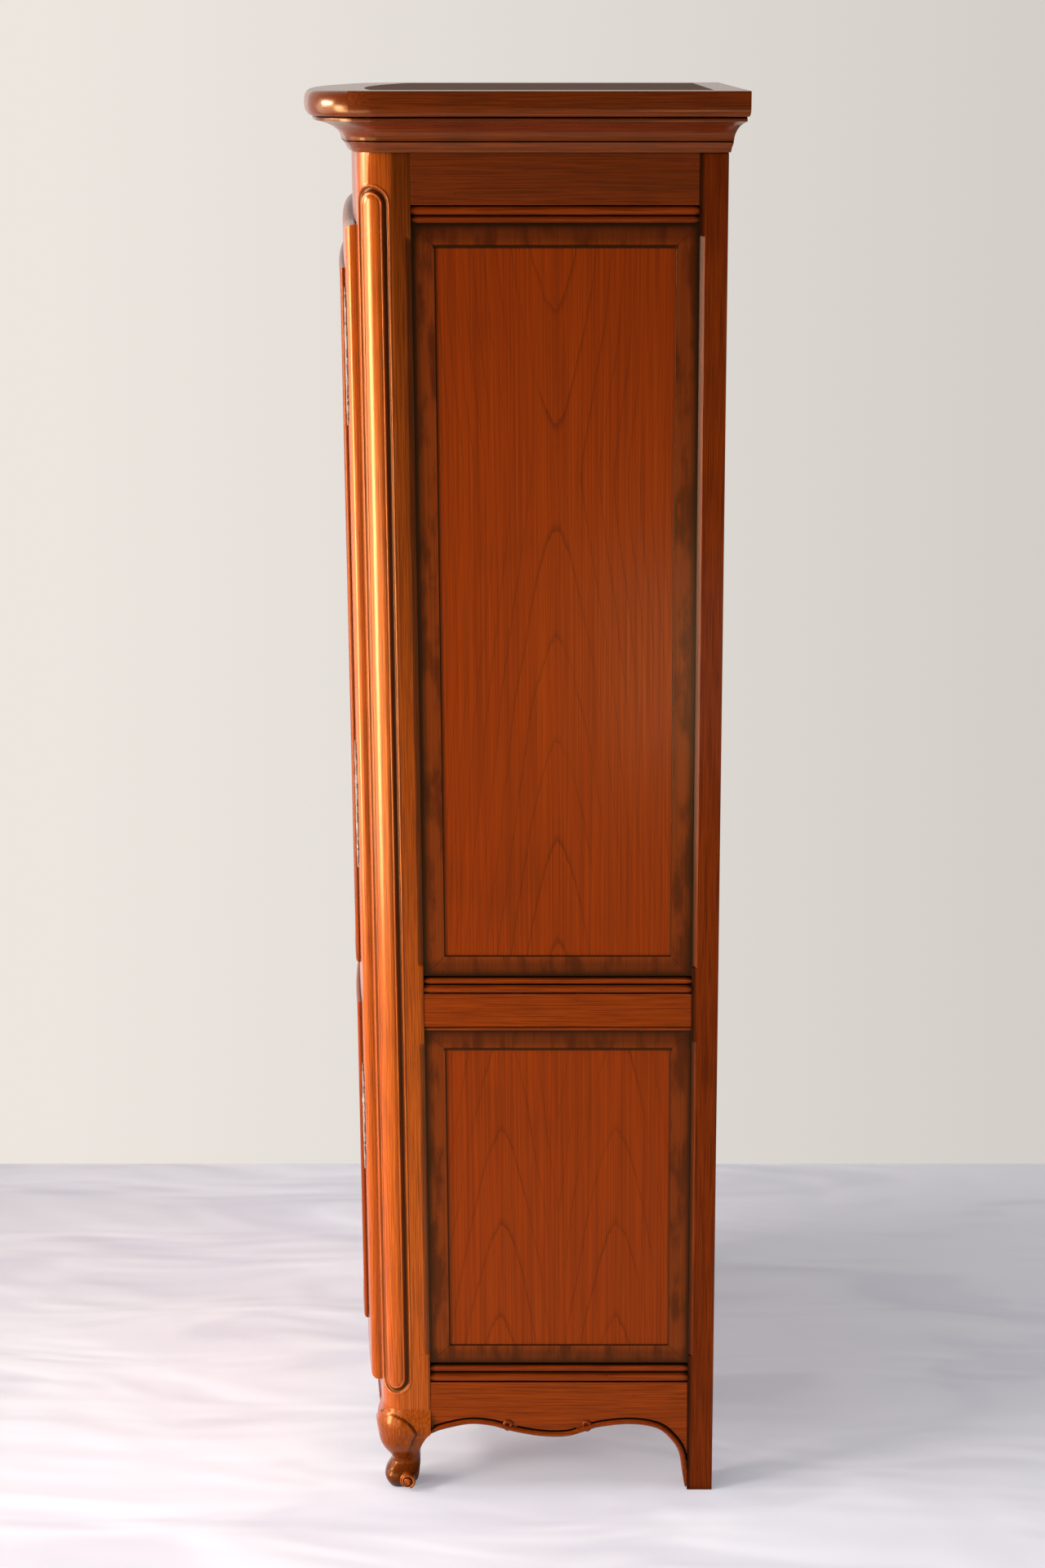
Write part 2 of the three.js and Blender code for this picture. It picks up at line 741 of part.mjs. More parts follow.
function corniceBack() {
  const half = corniceRing(cornerStation(0), sideFasciaShares).map(backMitre(0));
  const other = half.map((spot) => spot.clone().setX(-spot.x));
  return loft([half, other]);
}

function corniceBoard() {
  const inset = cornice.depthInside + seat;
  const front = steps(14).map((share) => bowStation(bowTurn * (1 - 2 * share)));
  const points = front.map(({ point, normal }) => point.clone().addScaledVector(normal, -inset));
  const right = halfWidth - inset;
  const back = halfDepth - inset;
  const corner = cornerStation(0).point.y;
  const edge = [
    [right, back],
    [right, corner],
    ...points.map((point) => [point.x, point.y]),
    [-right, corner],
    [-right, back],
  ];
  return raised(shapeOf(edge), [press.height - cornice.boardThickness, press.height]);
}

// Front frame: arched frieze above the door, scalloped apron below it

function arch(x) {
  const share = Math.min(Math.abs(x) / doorway, 1);
  return doorSpring + (door.archRise * (1 + Math.cos(Math.PI * share))) / 2;
}

function frieze() {
  const edge = { left: -doorway + seat, right: doorway - seat, head: level(carcassHead) };
  const low = (x) => arch(x) + door.gap;
  return bowedBoard(24, [
    { ...edge, foot: low, lie: bowed(-rail.thickness) },
    { ...edge, foot: low, lie: bowed(0) },
  ]);
}

// The apron's lower edge falls to the feet, with two arches and a lobe in the middle.
function frontApronEdge(x) {
  const share = Math.abs(x) / doorway;
  const lobeShare = 0.2;
  const footShare = 0.86;
  const cuspShare = 0.35;
  const drop = apron.frontArch - apron.frontLobe;
  if (share < lobeShare) {
    const across = Math.cos((Math.PI / 2) * (share / lobeShare));
    return apron.frontArch - drop * (cuspShare + (1 - cuspShare) * across);
  }
  const start = apron.frontArch - drop * cuspShare;
  if (share < footShare) {
    const across = (share - lobeShare) / (footShare - lobeShare);
    return start + (apron.frontArch - start) * Math.sin((Math.PI / 2) * Math.min(across * 2, 1));
  }
  const fall = (share - footShare) / (1 - footShare);
  const atPost = rail.bottomTop * apronArchShares[0][0][1];
  return apron.frontArch - (apron.frontArch - atPost) * fall * fall;
}

function frontApron() {
  const edge = { left: -doorway + seat, right: doorway - seat, head: level(door.foot - door.gap) };
  const blank = bowedBoard(44, [
    { ...edge, foot: frontApronEdge, lie: bowed(-rail.thickness) },
    { ...edge, foot: frontApronEdge, lie: bowed(0) },
  ]);
  const reach = doorway - seat - apron.beadRadius / 2;
  const stations = steps(32).map((share) => {
    const x = reach * (1 - 2 * share);
    const { normal } = bowStation(Math.asin(x / bowRadius));
    const height = frontApronEdge(x) + apron.beadRadius;
    return { point: new THREE.Vector3(x, frontAt(x, -apron.beadSink), height), normal };
  });
  return joined([blank, barAlong(stations, apron.beadRadius, { sides: 6 })]);
}

// Inside: boards notched round the posts, cleats under the shelves

function notchedBoard(top) {
  const front = frontAt(doorway, -rail.thickness) + seat;
  const right = railBack - seat;
  const edge = [
    [doorway - seat, front],
    [doorway - seat, postBack + seat],
    [right, postBack + seat],
    [right, rearPostFront - seat],
    [halfWidth - rearPost.width - seat, rearPostFront - seat],
    [halfWidth - rearPost.width - seat, backRailFront - seat],
  ];
  const mirrored = edge.map(([x, y]) => [-x, y]).reverse();
  return raised(shapeOf([...edge, ...mirrored]), [top - board.thickness, top]);
}

function shelfCleat(shelfTop) {
  const top = shelfTop - board.thickness - seat;
  return box([railBack - seat - cleat.width, railBack - seat], sideSpan, [top - cleat.height, top]);
}

// Back frame

const backRailFront = halfDepth - backFrame.inset - backFrame.thickness;
const backPanelMiddle = backRailFront + backFrame.thickness / 2;
const backPanelY = [backPanelMiddle - backFrame.panel / 2, backPanelMiddle + backFrame.panel / 2];
const backSpan = halfWidth - rearPost.width - seat;

function backRail(low, high, slotEdge, downward) {
  const deep = [backRailFront, halfDepth - backFrame.inset];
  const blank = box([-backSpan, backSpan], deep, [low, high]);
  const reach = [slotEdge + downward * overrun, slotEdge - downward * groove.depth];
  const slot = box(
    [-backSpan - overrun, backSpan + overrun],
    [backPanelY[0] - seat, backPanelY[1] + seat],
    reach.sort((a, b) => a - b),
  );
  return cut(blank, [slot]);
}

function backPanel() {
  const tongue = groove.depth - seat;
  const reach = backSpan + seat + tongue;
  const low = backFrame.bottomFoot + backFrame.bottomRail - tongue;
  return box([-reach, reach], backPanelY, [low, corniceFoot - backFrame.topRail + tongue]);
}

// Door

const doorBackY = frontAt(doorway) + door.back;
const stileInner = { hinge: doorHingeEdge + doorFrame.stile, lock: doorLockEdge - doorFrame.stile };
const lockBoltBack = doorBackY + seat + lock.thickness / 2 + bolt.thickness / 2;

// The steps of a rounded front arris: how far it is drawn in at each distance from the edge.
const roundingSteps = steps(3).map((share) => {
  const turn = (Math.PI / 2) * share;
  const inset = door.rounding * (1 - Math.cos(turn));
  const drop = door.rounding * (1 - Math.sin(turn));
  return { inset, out: door.face - drop };
});

// A member of the door frame. Only its outer edges are rounded, and the others stay square.
function doorMember(columns, { left, right, low, head }, rounded, flatBack) {
  const skin = (inset, lie) => ({
    left: left + (rounded.left ? inset : 0),
    right: right - (rounded.right ? inset : 0),
    foot: (x) => low(x) + (rounded.foot ? inset : 0),
    head: (x) => head(x) - (rounded.head ? inset : 0),
    lie,
  });
  const back = flatBack ? level(doorBackY) : bowed(-door.back);
  const front = Object.keys(rounded).length
    ? roundingSteps.map(({ inset, out }) => skin(inset, bowed(out)))
    : [skin(0, bowed(door.face))];
  return bowedBoard(columns, [skin(0, back), ...front]);
}

function doorHingeStile() {
  const edges = { left: doorHingeEdge, right: stileInner.hinge, low: level(door.foot), head: arch };
  return doorMember(4, edges, { left: true, foot: true, head: true }, true);
}

function doorLockStile() {
  const edges = { left: stileInner.lock, right: doorLockEdge, low: level(door.foot), head: arch };
  const blank = doorMember(4, edges, { right: true, foot: true, head: true }, true);
  return cut(blank, keyholeCutters(press.depth));
}

// The keyhole: a round bore with a slot below it, along Y through whatever stands at the lock's height.
const keyX = doorLockEdge - escutcheon.inset;
function keyholeCutters(reach) {
  const bore = turned(
    [
      [0, -reach / 2],
      [keyhole.radius, -reach / 2],
      [keyhole.radius, reach / 2],
      [0, reach / 2],
    ],
    16,
  );
  bore.rotateX(Math.PI / 2).translate(keyX, -halfDepth, lockHeight);
  const slot = box(
    [keyX - keyhole.slotWidth / 2, keyX + keyhole.slotWidth / 2],
    [-halfDepth - reach / 2, -halfDepth + reach / 2],
    [lockHeight - keyhole.slotDrop, lockHeight],
  );
  return [bore, slot];
}

const panelLeft = stileInner.hinge;
const panelRight = stileInner.lock;
const upperPanelHead = (x) => arch(x) - doorFrame.topRail;
const middleRailLow = doorFrame.middleTop - doorFrame.middleRail;
const bottomRailTop = door.foot + doorFrame.bottomRail;

function doorRail(low, head, rounded) {
  const edges = { left: panelLeft + seat, right: panelRight - seat, low, head };
  return doorMember(14, edges, rounded, false);
}

// The moulding's face: place as a share of the lip over the frame (below 0) or of the moulding's width
// (above 0), and rise over the frame as a share of its own.
const bolectionShares = [
  [-1, 0.35],
  [-0.75, 0.8],
  [-0.2, 1],
  [0.2, 0.75],
  [0.36, 0.1],
];
const hollowShare = 0.55;

// A bolection panel: its moulding laps over the frame, and a raised field lies inside the moulding.
function doorPanelSolid(low, head) {
  const face = door.face;
  const width = doorPanel.mouldingWidth;
  const lapped = bolectionShares.map(([place, rise]) => [
    place < 0 ? place * doorPanel.lip : place * width,
    face + rise * doorPanel.mouldingRise,
  ]);
  const hollow = width * hollowShare;
  const rows = [
    [seat, -doorPanel.back],
    [seat, face + seat],
    [-doorPanel.lip, face + seat],
    ...lapped,
    [hollow, face - doorPanel.fieldDrop],
    [width, face - doorPanel.fieldDrop],
    [width + doorPanel.bevel, face],
  ];
  const skins = rows.map(([inset, out]) => ({
    left: panelLeft + inset,
    right: panelRight - inset,
    foot: (x) => low(x) + inset,
    head: (x) => head(x) - inset,
    lie: bowed(out),
  }));
  return bowedBoard(14, skins);
}

// Hardware: pin hinges, pierced escutcheons, rim lock

const hingeAxis = { x: -doorway + door.hingeGap / 2, y: frontAt(doorway) - door.face - hinge.proud };

function hingeLeaf(x0, low) {
  return box(
    [x0, x0 + hinge.leaf],
    [hingeAxis.y + hinge.pinRadius + hingeFit.boreGap * 2, hingeAxis.y + hingeFit.leafDepth],
    [low, low + hinge.halfLength],
  );
}

// The turned tip of a hinge, from its neck outwards: radius as a share of the barrel's, and distance
// from the barrel as a share of the tip's length.
const finialShares = [
  [0.8, 0.14],
  [0.36, 0.32],
  [0.62, 0.6],
  [0.45, 0.86],
  [0, 1],
];
// Where the pin's shank ends, where its point ends, and how deep the bore is, in half lengths.
const pinShares = { shank: 1.7, point: 1.75, bore: 0.85 };

function hingePostHalf(height) {
  const { barrelRadius: radius, pinRadius, halfLength } = hinge;
  const tip = finialShares.map(([wide, out]) => [radius * wide, -hingeFit.finial * out]);
  const barrel = turned(
    [
      ...tip.reverse(),
      [radius, 0],
      [radius, halfLength],
      [pinRadius, halfLength],
      [pinRadius, halfLength * pinShares.shank],
      [0, halfLength * pinShares.point],
    ],
    16,
  );
  barrel.translate(hingeAxis.x, hingeAxis.y, height);
  return joined([barrel, hingeLeaf(-doorway + seat, height)]);
}

function hingeDoorHalf(height) {
  const { barrelRadius: radius, pinRadius, halfLength } = hinge;
  const bore = pinRadius + hingeFit.boreGap;
  const low = height + halfLength + seat;
  const tip = finialShares.map(([wide, out]) => [radius * wide, halfLength + hingeFit.finial * out]);
  const barrel = turned(
    [
      [bore, 0],
      [radius, 0],
      [radius, halfLength],
      ...tip,
      [0, halfLength * pinShares.bore],
      [bore, halfLength * pinShares.bore],
      [bore, 0],
    ],
    16,
  );
  barrel.translate(hingeAxis.x, hingeAxis.y, low);
  return joined([barrel, hingeLeaf(doorHingeEdge - seat - hinge.leaf, low)]);
}

// Half of the pierced plate's outline, from its foot to its tip, as shares of half its width and height.
const plateShares = [
  [0, -1],
  [0.2, -0.93],
  [0.16, -0.86],
  [0.5, -0.8],
  [0.62, -0.68],
  [0.4, -0.6],
  [0.3, -0.5],
  [0.72, -0.42],
  [0.96, -0.28],
  [0.74, -0.18],
  [0.62, -0.1],
  [0.8, 0],
  [0.66, 0.1],
  [0.88, 0.2],
  [1, 0.34],
  [0.62, 0.43],
  [0.28, 0.5],
  [0.46, 0.6],
  [0.6, 0.7],
  [0.4, 0.82],
  [0.12, 0.87],
  [0.2, 0.93],
  [0, 1],
];
// The pierced eyes of the plate: place across, place up, and half width, as shares of half the plate.
const plateEyeShares = [
  [0.5, -0.32, 0.2],
  [0.5, 0.28, 0.2],
  [0.3, -0.72, 0.13],
  [0.3, 0.72, 0.13],
];
const eyeTallShare = 1.6;

function escutcheonPlate(centre, height, withKeyhole) {
  const half = { across: escutcheon.width / 2, up: height / 2 };
  const spots = plateShares.map(([a, b]) => new THREE.Vector2(a * half.across, b * half.up));
  const right = new THREE.SplineCurve(spots).getPoints(40).slice(1, -1);
  const left = right.map((spot) => new THREE.Vector2(-spot.x, spot.y)).reverse();
  const tips = [new THREE.Vector2(0, -half.up), new THREE.Vector2(0, half.up)];
  const shape = new THREE.Shape([tips[0], ...right, tips[1], ...left]);
  plateEyeShares.forEach(([across, up, wide]) => {
    [-1, 1].forEach((flip) => {
      const eye = new THREE.Path();
      const radius = wide * half.across;
      const place = [flip * across * half.across, up * half.up];
      eye.absellipse(...place, radius, radius * eyeTallShare, 0, 2 * Math.PI, true, 0);
      shape.holes.push(eye);
    });
  });
  const plate = drawnAlongY(shape, [-escutcheon.thickness, 0], 3);
  const turn = Math.asin(keyX / bowRadius);
  plate.rotateZ(turn).translate(keyX, frontAt(keyX, door.face + seat), centre);
  return withKeyhole ? cut(plate, keyholeCutters(press.depth)) : plate;
}

const lockX = [doorLockEdge - lock.inset - lock.width, doorLockEdge - lock.inset];
const lockY = [doorBackY + seat, doorBackY + seat + lock.thickness];
const lockZ = [lockHeight - lock.height / 2, lockHeight + lock.height / 2];

// A rim lock's case: a pressed box, open towards the door, with a slot for the bolt in its end.
function lockCase() {
  const blank = box(lockX, lockY, lockZ);
  const hollow = box(
    [lockX[0] + lock.wall, lockX[1] - lock.wall],
    [lockY[0] - overrun, lockY[1] - lock.wall],
    [lockZ[0] + lock.wall, lockZ[1] - lock.wall],
  );
  const half = bolt.height / 2 + bolt.play;
  const slot = box(
    [lockX[1] - lock.wall - overrun, lockX[1] + overrun],
    [lockBoltBack - bolt.thickness - bolt.play, lockBoltBack + bolt.play],
    [lockHeight - half, lockHeight + half],
  );
  return cut(blank, [hollow, slot]);
}

// The notch in which the key turns: half its width in key radii, and its head below the bolt's middle.
const talonShares = { width: 1.5, head: 0.2 };

function lockBolt() {
  const end = doorLockEdge - bolt.setBack;
  const blank = box(
    [end - bolt.length, end],
    [lockBoltBack - bolt.thickness, lockBoltBack],
    [lockHeight - bolt.height / 2, lockHeight + bolt.height / 2],
  );
  const talonHalf = keyhole.radius * talonShares.width;
  const talon = box(
    [keyX - talonHalf, keyX + talonHalf],
    [lockBoltBack - bolt.thickness - overrun, lockBoltBack + overrun],
    [lockHeight - bolt.height, lockHeight - bolt.height * talonShares.head],
  );
  return cut(blank, [talon]);
}

// Assembly

function sideGroup(sideName, withMortise) {
  const group = new THREE.Group();
  const add = (name, geometry, look) => group.add(meshOf(name + "_" + sideName, geometry, look));
  add("front_post", frontPostSolid(withMortise), finish.frame);
  add("rear_post", rearPostSolid(), finish.frame);
  add("side_top_rail", sideTopRail(), finish.frame);
  add("side_middle_rail", sideMiddleRail(), finish.frame);
  add("side_bottom_rail", sideBottomRail(), finish.frame);
  const upper = sidePanelSolid(
    rail.middleTop,
    topRailFoot,
    sidePanel.border,
    moulding.height,
    moulding.height,
  );
  const lower = sidePanelSolid(
    rail.bottomTop,
    middleRailFoot,
    sidePanel.lowerBorder,
    moulding.baseHeight,
    railBead.height,
  );
  add("side_upper_panel", upper, finish.panel);
  add("side_lower_panel", lower, finish.panel);
  add("side_top_moulding", sideMouldingSolid(topRailFoot, moulding.height, 1), finish.frame);
  add("side_middle_moulding", sideMouldingSolid(rail.middleTop, moulding.height, -1), finish.frame);
  add("side_bottom_moulding", sideMouldingSolid(rail.bottomTop, moulding.baseHeight, -1), finish.frame);
  add("cornice_side", corniceSide(), finish.frame);
  shelfHeights.forEach((height, i) => add("cleat_" + (i + 1), shelfCleat(height), finish.inside));
  return group;
}

function carcassGroup() {
  const group = new THREE.Group();
  const add = (name, geometry, look) => group.add(meshOf(name, geometry, look));
  add("frieze_rail", frieze(), finish.frame);
  add("front_apron", frontApron(), finish.frame);
  add("cornice_front", corniceFront(), finish.frame);
  add("cornice_back", corniceBack(), finish.frame);
  add("cornice_top_board", corniceBoard(), finish.frame);
  add("carcass_top", notchedBoard(carcassHead - carcassTopDrop), finish.inside);
  add("bottom_board", notchedBoard(bottomBoardTop), finish.inside);
  shelfHeights.forEach((height, i) => add("shelf_" + (i + 1), notchedBoard(height), finish.inside));
  const topSlot = corniceFoot - backFrame.topRail;
  const bottomSlot = backFrame.bottomFoot + backFrame.bottomRail;
  add("back_top_rail", backRail(topSlot, carcassHead, topSlot, -1), finish.inside);
  add("back_bottom_rail", backRail(backFrame.bottomFoot, bottomSlot, bottomSlot, 1), finish.inside);
  add("back_panel", backPanel(), finish.inside);
  hingeHeights.forEach((height, i) => {
    add("hinge_post_half_" + (i + 1), hingePostHalf(height), finish.silvered);
  });
  return group;
}

function doorGroup() {
  const group = new THREE.Group();
  const add = (name, geometry, look) => group.add(meshOf(name, geometry, look));
  add("door_hinge_stile", doorHingeStile(), finish.frame);
  add("door_lock_stile", doorLockStile(), finish.frame);
  add("door_top_rail", doorRail(upperPanelHead, arch, { head: true }), finish.frame);
  const middleRail = doorRail(level(middleRailLow), level(doorFrame.middleTop), {});
  const bottomRail = doorRail(level(door.foot), level(bottomRailTop), { foot: true });
  add("door_middle_rail", middleRail, finish.frame);
  add("door_bottom_rail", bottomRail, finish.frame);
  add("door_upper_panel", doorPanelSolid(level(doorFrame.middleTop), upperPanelHead), finish.panel);
  add("door_lower_panel", doorPanelSolid(level(bottomRailTop), level(middleRailLow)), finish.panel);
  const upperPlate = escutcheonPlate(upperPlateHeight, escutcheon.height, false);
  const lowerPlate = escutcheonPlate(lowerPlateHeight, escutcheon.lowerHeight, false);
  add("escutcheon_upper", upperPlate, finish.silvered);
  add("escutcheon_middle", escutcheonPlate(lockHeight, escutcheon.height, true), finish.silvered);
  add("escutcheon_lower", lowerPlate, finish.silvered);
  add("lock_case", lockCase(), finish.iron);
  add("lock_bolt", lockBolt(), finish.iron);
  hingeHeights.forEach((height, i) => {
    add("hinge_door_half_" + (i + 1), hingeDoorHalf(height), finish.silvered);
  });
  return group;
}

const pressGroup = new THREE.Group();
const standing = new THREE.Group();
standing.position.y = centreShift;
const rightSide = sideGroup("right", true);
const leftSide = sideGroup("left", false);
leftSide.scale.x = -1;
standing.add(rightSide, leftSide, carcassGroup(), doorGroup());
pressGroup.add(standing);

export default pressGroup;
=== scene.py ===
"""A tall linen press in satin-varnished cherry, dressed for the studio.

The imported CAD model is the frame: every piece stands where its node stands. Sizes are in millimetres in
the press's own frame, with the front towards -Y, and turn to metres as each mesh is made.
"""

import logging
import math
from dataclasses import dataclass
from enum import Enum
from typing import Callable, Iterable, Optional, Sequence

import bpy
import numpy as np
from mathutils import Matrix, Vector


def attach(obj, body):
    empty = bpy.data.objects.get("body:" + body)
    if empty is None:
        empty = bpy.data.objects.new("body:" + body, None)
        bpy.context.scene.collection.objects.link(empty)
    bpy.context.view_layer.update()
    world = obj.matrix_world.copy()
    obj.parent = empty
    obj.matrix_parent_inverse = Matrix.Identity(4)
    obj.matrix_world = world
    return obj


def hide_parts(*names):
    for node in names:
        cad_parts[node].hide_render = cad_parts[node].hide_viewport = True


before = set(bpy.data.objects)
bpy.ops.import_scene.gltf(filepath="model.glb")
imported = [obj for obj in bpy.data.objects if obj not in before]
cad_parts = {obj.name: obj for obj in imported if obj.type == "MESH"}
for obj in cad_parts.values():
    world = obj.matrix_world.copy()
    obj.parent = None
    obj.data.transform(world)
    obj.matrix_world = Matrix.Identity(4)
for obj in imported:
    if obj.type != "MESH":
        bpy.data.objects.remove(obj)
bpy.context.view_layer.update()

LOG = logging.getLogger("linen_press")
MM = 0.001
PHOTO_WIDTH, PHOTO_HEIGHT = 1280, 1920
SIDEWAYS, FORWARDS = np.array([1.0, 0.0, 0.0]), np.array([0.0, -1.0, 0.0])
BALL_TURN = 20  # degrees between two columns of a ball
BALL_RISE = (-88, 88, 13)  # the first and last latitude of a ball in degrees, and how many there are
SUNKEN_FROM = 0.7  # how far up a bar's side the painted shade reaches from where it meets the face, as a share of its radius
CRISP_OVER = 32.0  # degrees between two faces over which their edge stays crisp
NODE_CRISP_OVER = 40.0  # the same for the nodes that keep their own mesh
WELD_WITHIN = 0.01  # mm between two corners of a node that are one

Point = tuple[float, float, float]
Ring = np.ndarray


class Body(Enum):
    """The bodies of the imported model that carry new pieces."""

    CARCASS = "carcass"
    DOOR = "door"


class Slot(Enum):
    """The record's material slots, handed to the new pieces; nothing reads them."""

    FRAME = "frame_wood"
    PANELS = "panels"


class Grain(Enum):
    """Which way the wood's fibres run."""

    ACROSS = 0
    DEPTH = 1
    UPRIGHT = 2


@dataclass(frozen=True)
class PressPlan:
    """Outer sizes of the press and the curve of its front, in mm."""

    width: float = 820.0
    depth: float = 500.0
    height: float = 2065.0
    bow_turn: float = math.radians(9)
    corner_radius: float = 35.0
    post_width: float = 54.0
    post_depth: float = 74.0
    rear_depth: float = 38.0
    cornice_height: float = 80.0
    cornice_reach: float = 64.0
    cornice_back: float = 25.2
    seat: float = 0.3

    @property
    def half_width(self) -> float:
        """Half the body's width."""
        return self.width / 2

    @property
    def half_depth(self) -> float:
        """Half the body's depth."""
        return self.depth / 2

    @property
    def bow_start(self) -> float:
        """Where the bow meets the rounded corner, from the middle."""
        return self.half_width - self.corner_radius * (1 - math.sin(self.bow_turn))

    @property
    def bow_radius(self) -> float:
        """Radius of the bowed front."""
        return self.bow_start / math.sin(self.bow_turn)

    @property
    def corner_centre(self) -> tuple[float, float]:
        """Centre of the right corner's round, in plan."""
        return self.half_width - self.corner_radius, self.corner_radius - self.half_depth

    @property
    def bow_centre(self) -> float:
        """Where the bow's centre lies along Y."""
        return self.corner_centre[1] + (self.bow_radius - self.corner_radius) * math.cos(self.bow_turn)

    @property
    def shift(self) -> float:
        """How far the body stands back so that the cornice is centred."""
        reach = self.bow_radius - self.bow_centre + self.cornice_reach
        return (reach - self.half_depth - self.cornice_back) / 2

    @property
    def doorway(self) -> float:
        """Half the width between the front posts."""
        return self.half_width - self.post_width

    @property
    def cornice_foot(self) -> float:
        """Height of the cornice's foot."""
        return self.height - self.cornice_height

    @property
    def post_back(self) -> float:
        """Back face of the front posts."""
        return self.post_depth - self.half_depth

    @property
    def rear_front(self) -> float:
        """Front face of the rear posts."""
        return self.half_depth - self.rear_depth

    @property
    def side_span(self) -> tuple[float, float]:
        """The two ends of what stands between the posts of a side."""
        return self.post_back + self.seat, self.rear_front - self.seat

    @property
    def corner_length(self) -> float:
        """Length round the corner, from the bow to the flat side."""
        return self.corner_radius * (math.pi / 2 - self.bow_turn)

    def front_at(self, x: float, out: float = 0.0) -> float:
        """Where the bowed front lies at x.

        Args:
            x: Distance from the middle of the press.
            out: How far in front of the bow.

        Returns:
            The place along Y.
        """
        return self.bow_centre - math.sqrt((self.bow_radius + out) ** 2 - x * x)

    def corner_station(self, turn: float) -> tuple[np.ndarray, np.ndarray]:
        """A plan point of the right corner and its outward normal; turn 0 faces the side."""
        normal = np.array([math.cos(turn), -math.sin(turn)])
        return np.array(self.corner_centre) + normal * self.corner_radius, normal

    def bow_station(self, turn: float) -> tuple[np.ndarray, np.ndarray]:
        """A plan point of the bow and its outward normal; turn 0 is the middle."""
        normal = np.array([math.sin(turn), -math.cos(turn)])
        return np.array([0.0, self.bow_centre]) + normal * self.bow_radius, normal

    def outer_station(self, distance: float) -> tuple[np.ndarray, np.ndarray]:
        """A plan point of the outer faces, at a distance round the corner from where the bow ends."""
        if distance < 0:
            return self.bow_station(self.bow_turn + distance / self.bow_radius)
        if distance < self.corner_length:
            return self.corner_station(math.pi / 2 - self.bow_turn - distance / self.corner_radius)
        point, normal = self.corner_station(0.0)
        return point + np.array([0.0, distance - self.corner_length]), normal


PLAN = PressPlan()


def shares(count: int) -> np.ndarray:
    """Evenly spaced shares from 0 to 1."""
    return np.linspace(0.0, 1.0, count + 1)


def smooth_through(points: Sequence[Sequence[float]], per_span: int = 3) -> np.ndarray:
    """Draws a smooth curve through points.

    Args:
        points: The points, each with as many numbers as it likes.
        per_span: How many steps lie between two points.

    Returns:
        The points of the curve, as rows.
    """
    p = np.array(points, float)
    ends = np.vstack([2 * p[0] - p[1], p, 2 * p[-1] - p[-2]])
    rows = []
    for i in range(1, len(ends) - 2):
        a, b, c, d = ends[i - 1], ends[i], ends[i + 1], ends[i + 2]
        for t in np.arange(per_span) / per_span:
            rows.append(
                0.5 * (2 * b + (c - a) * t + (2 * a - 5 * b + 4 * c - d) * t**2 + (3 * b - a - 3 * c + d) * t**3)
            )
    rows.append(p[-1])
    return np.array(rows)


def arc(centre: Sequence[float], radii: Sequence[float], start: float, end: float, count: int) -> np.ndarray:
    """Points of an elliptical arc, from one turn to another, in degrees."""
    turns = np.radians(start + (end - start) * shares(count))
    return np.column_stack([centre[0] + radii[0] * np.cos(turns), centre[1] + radii[1] * np.sin(turns)])


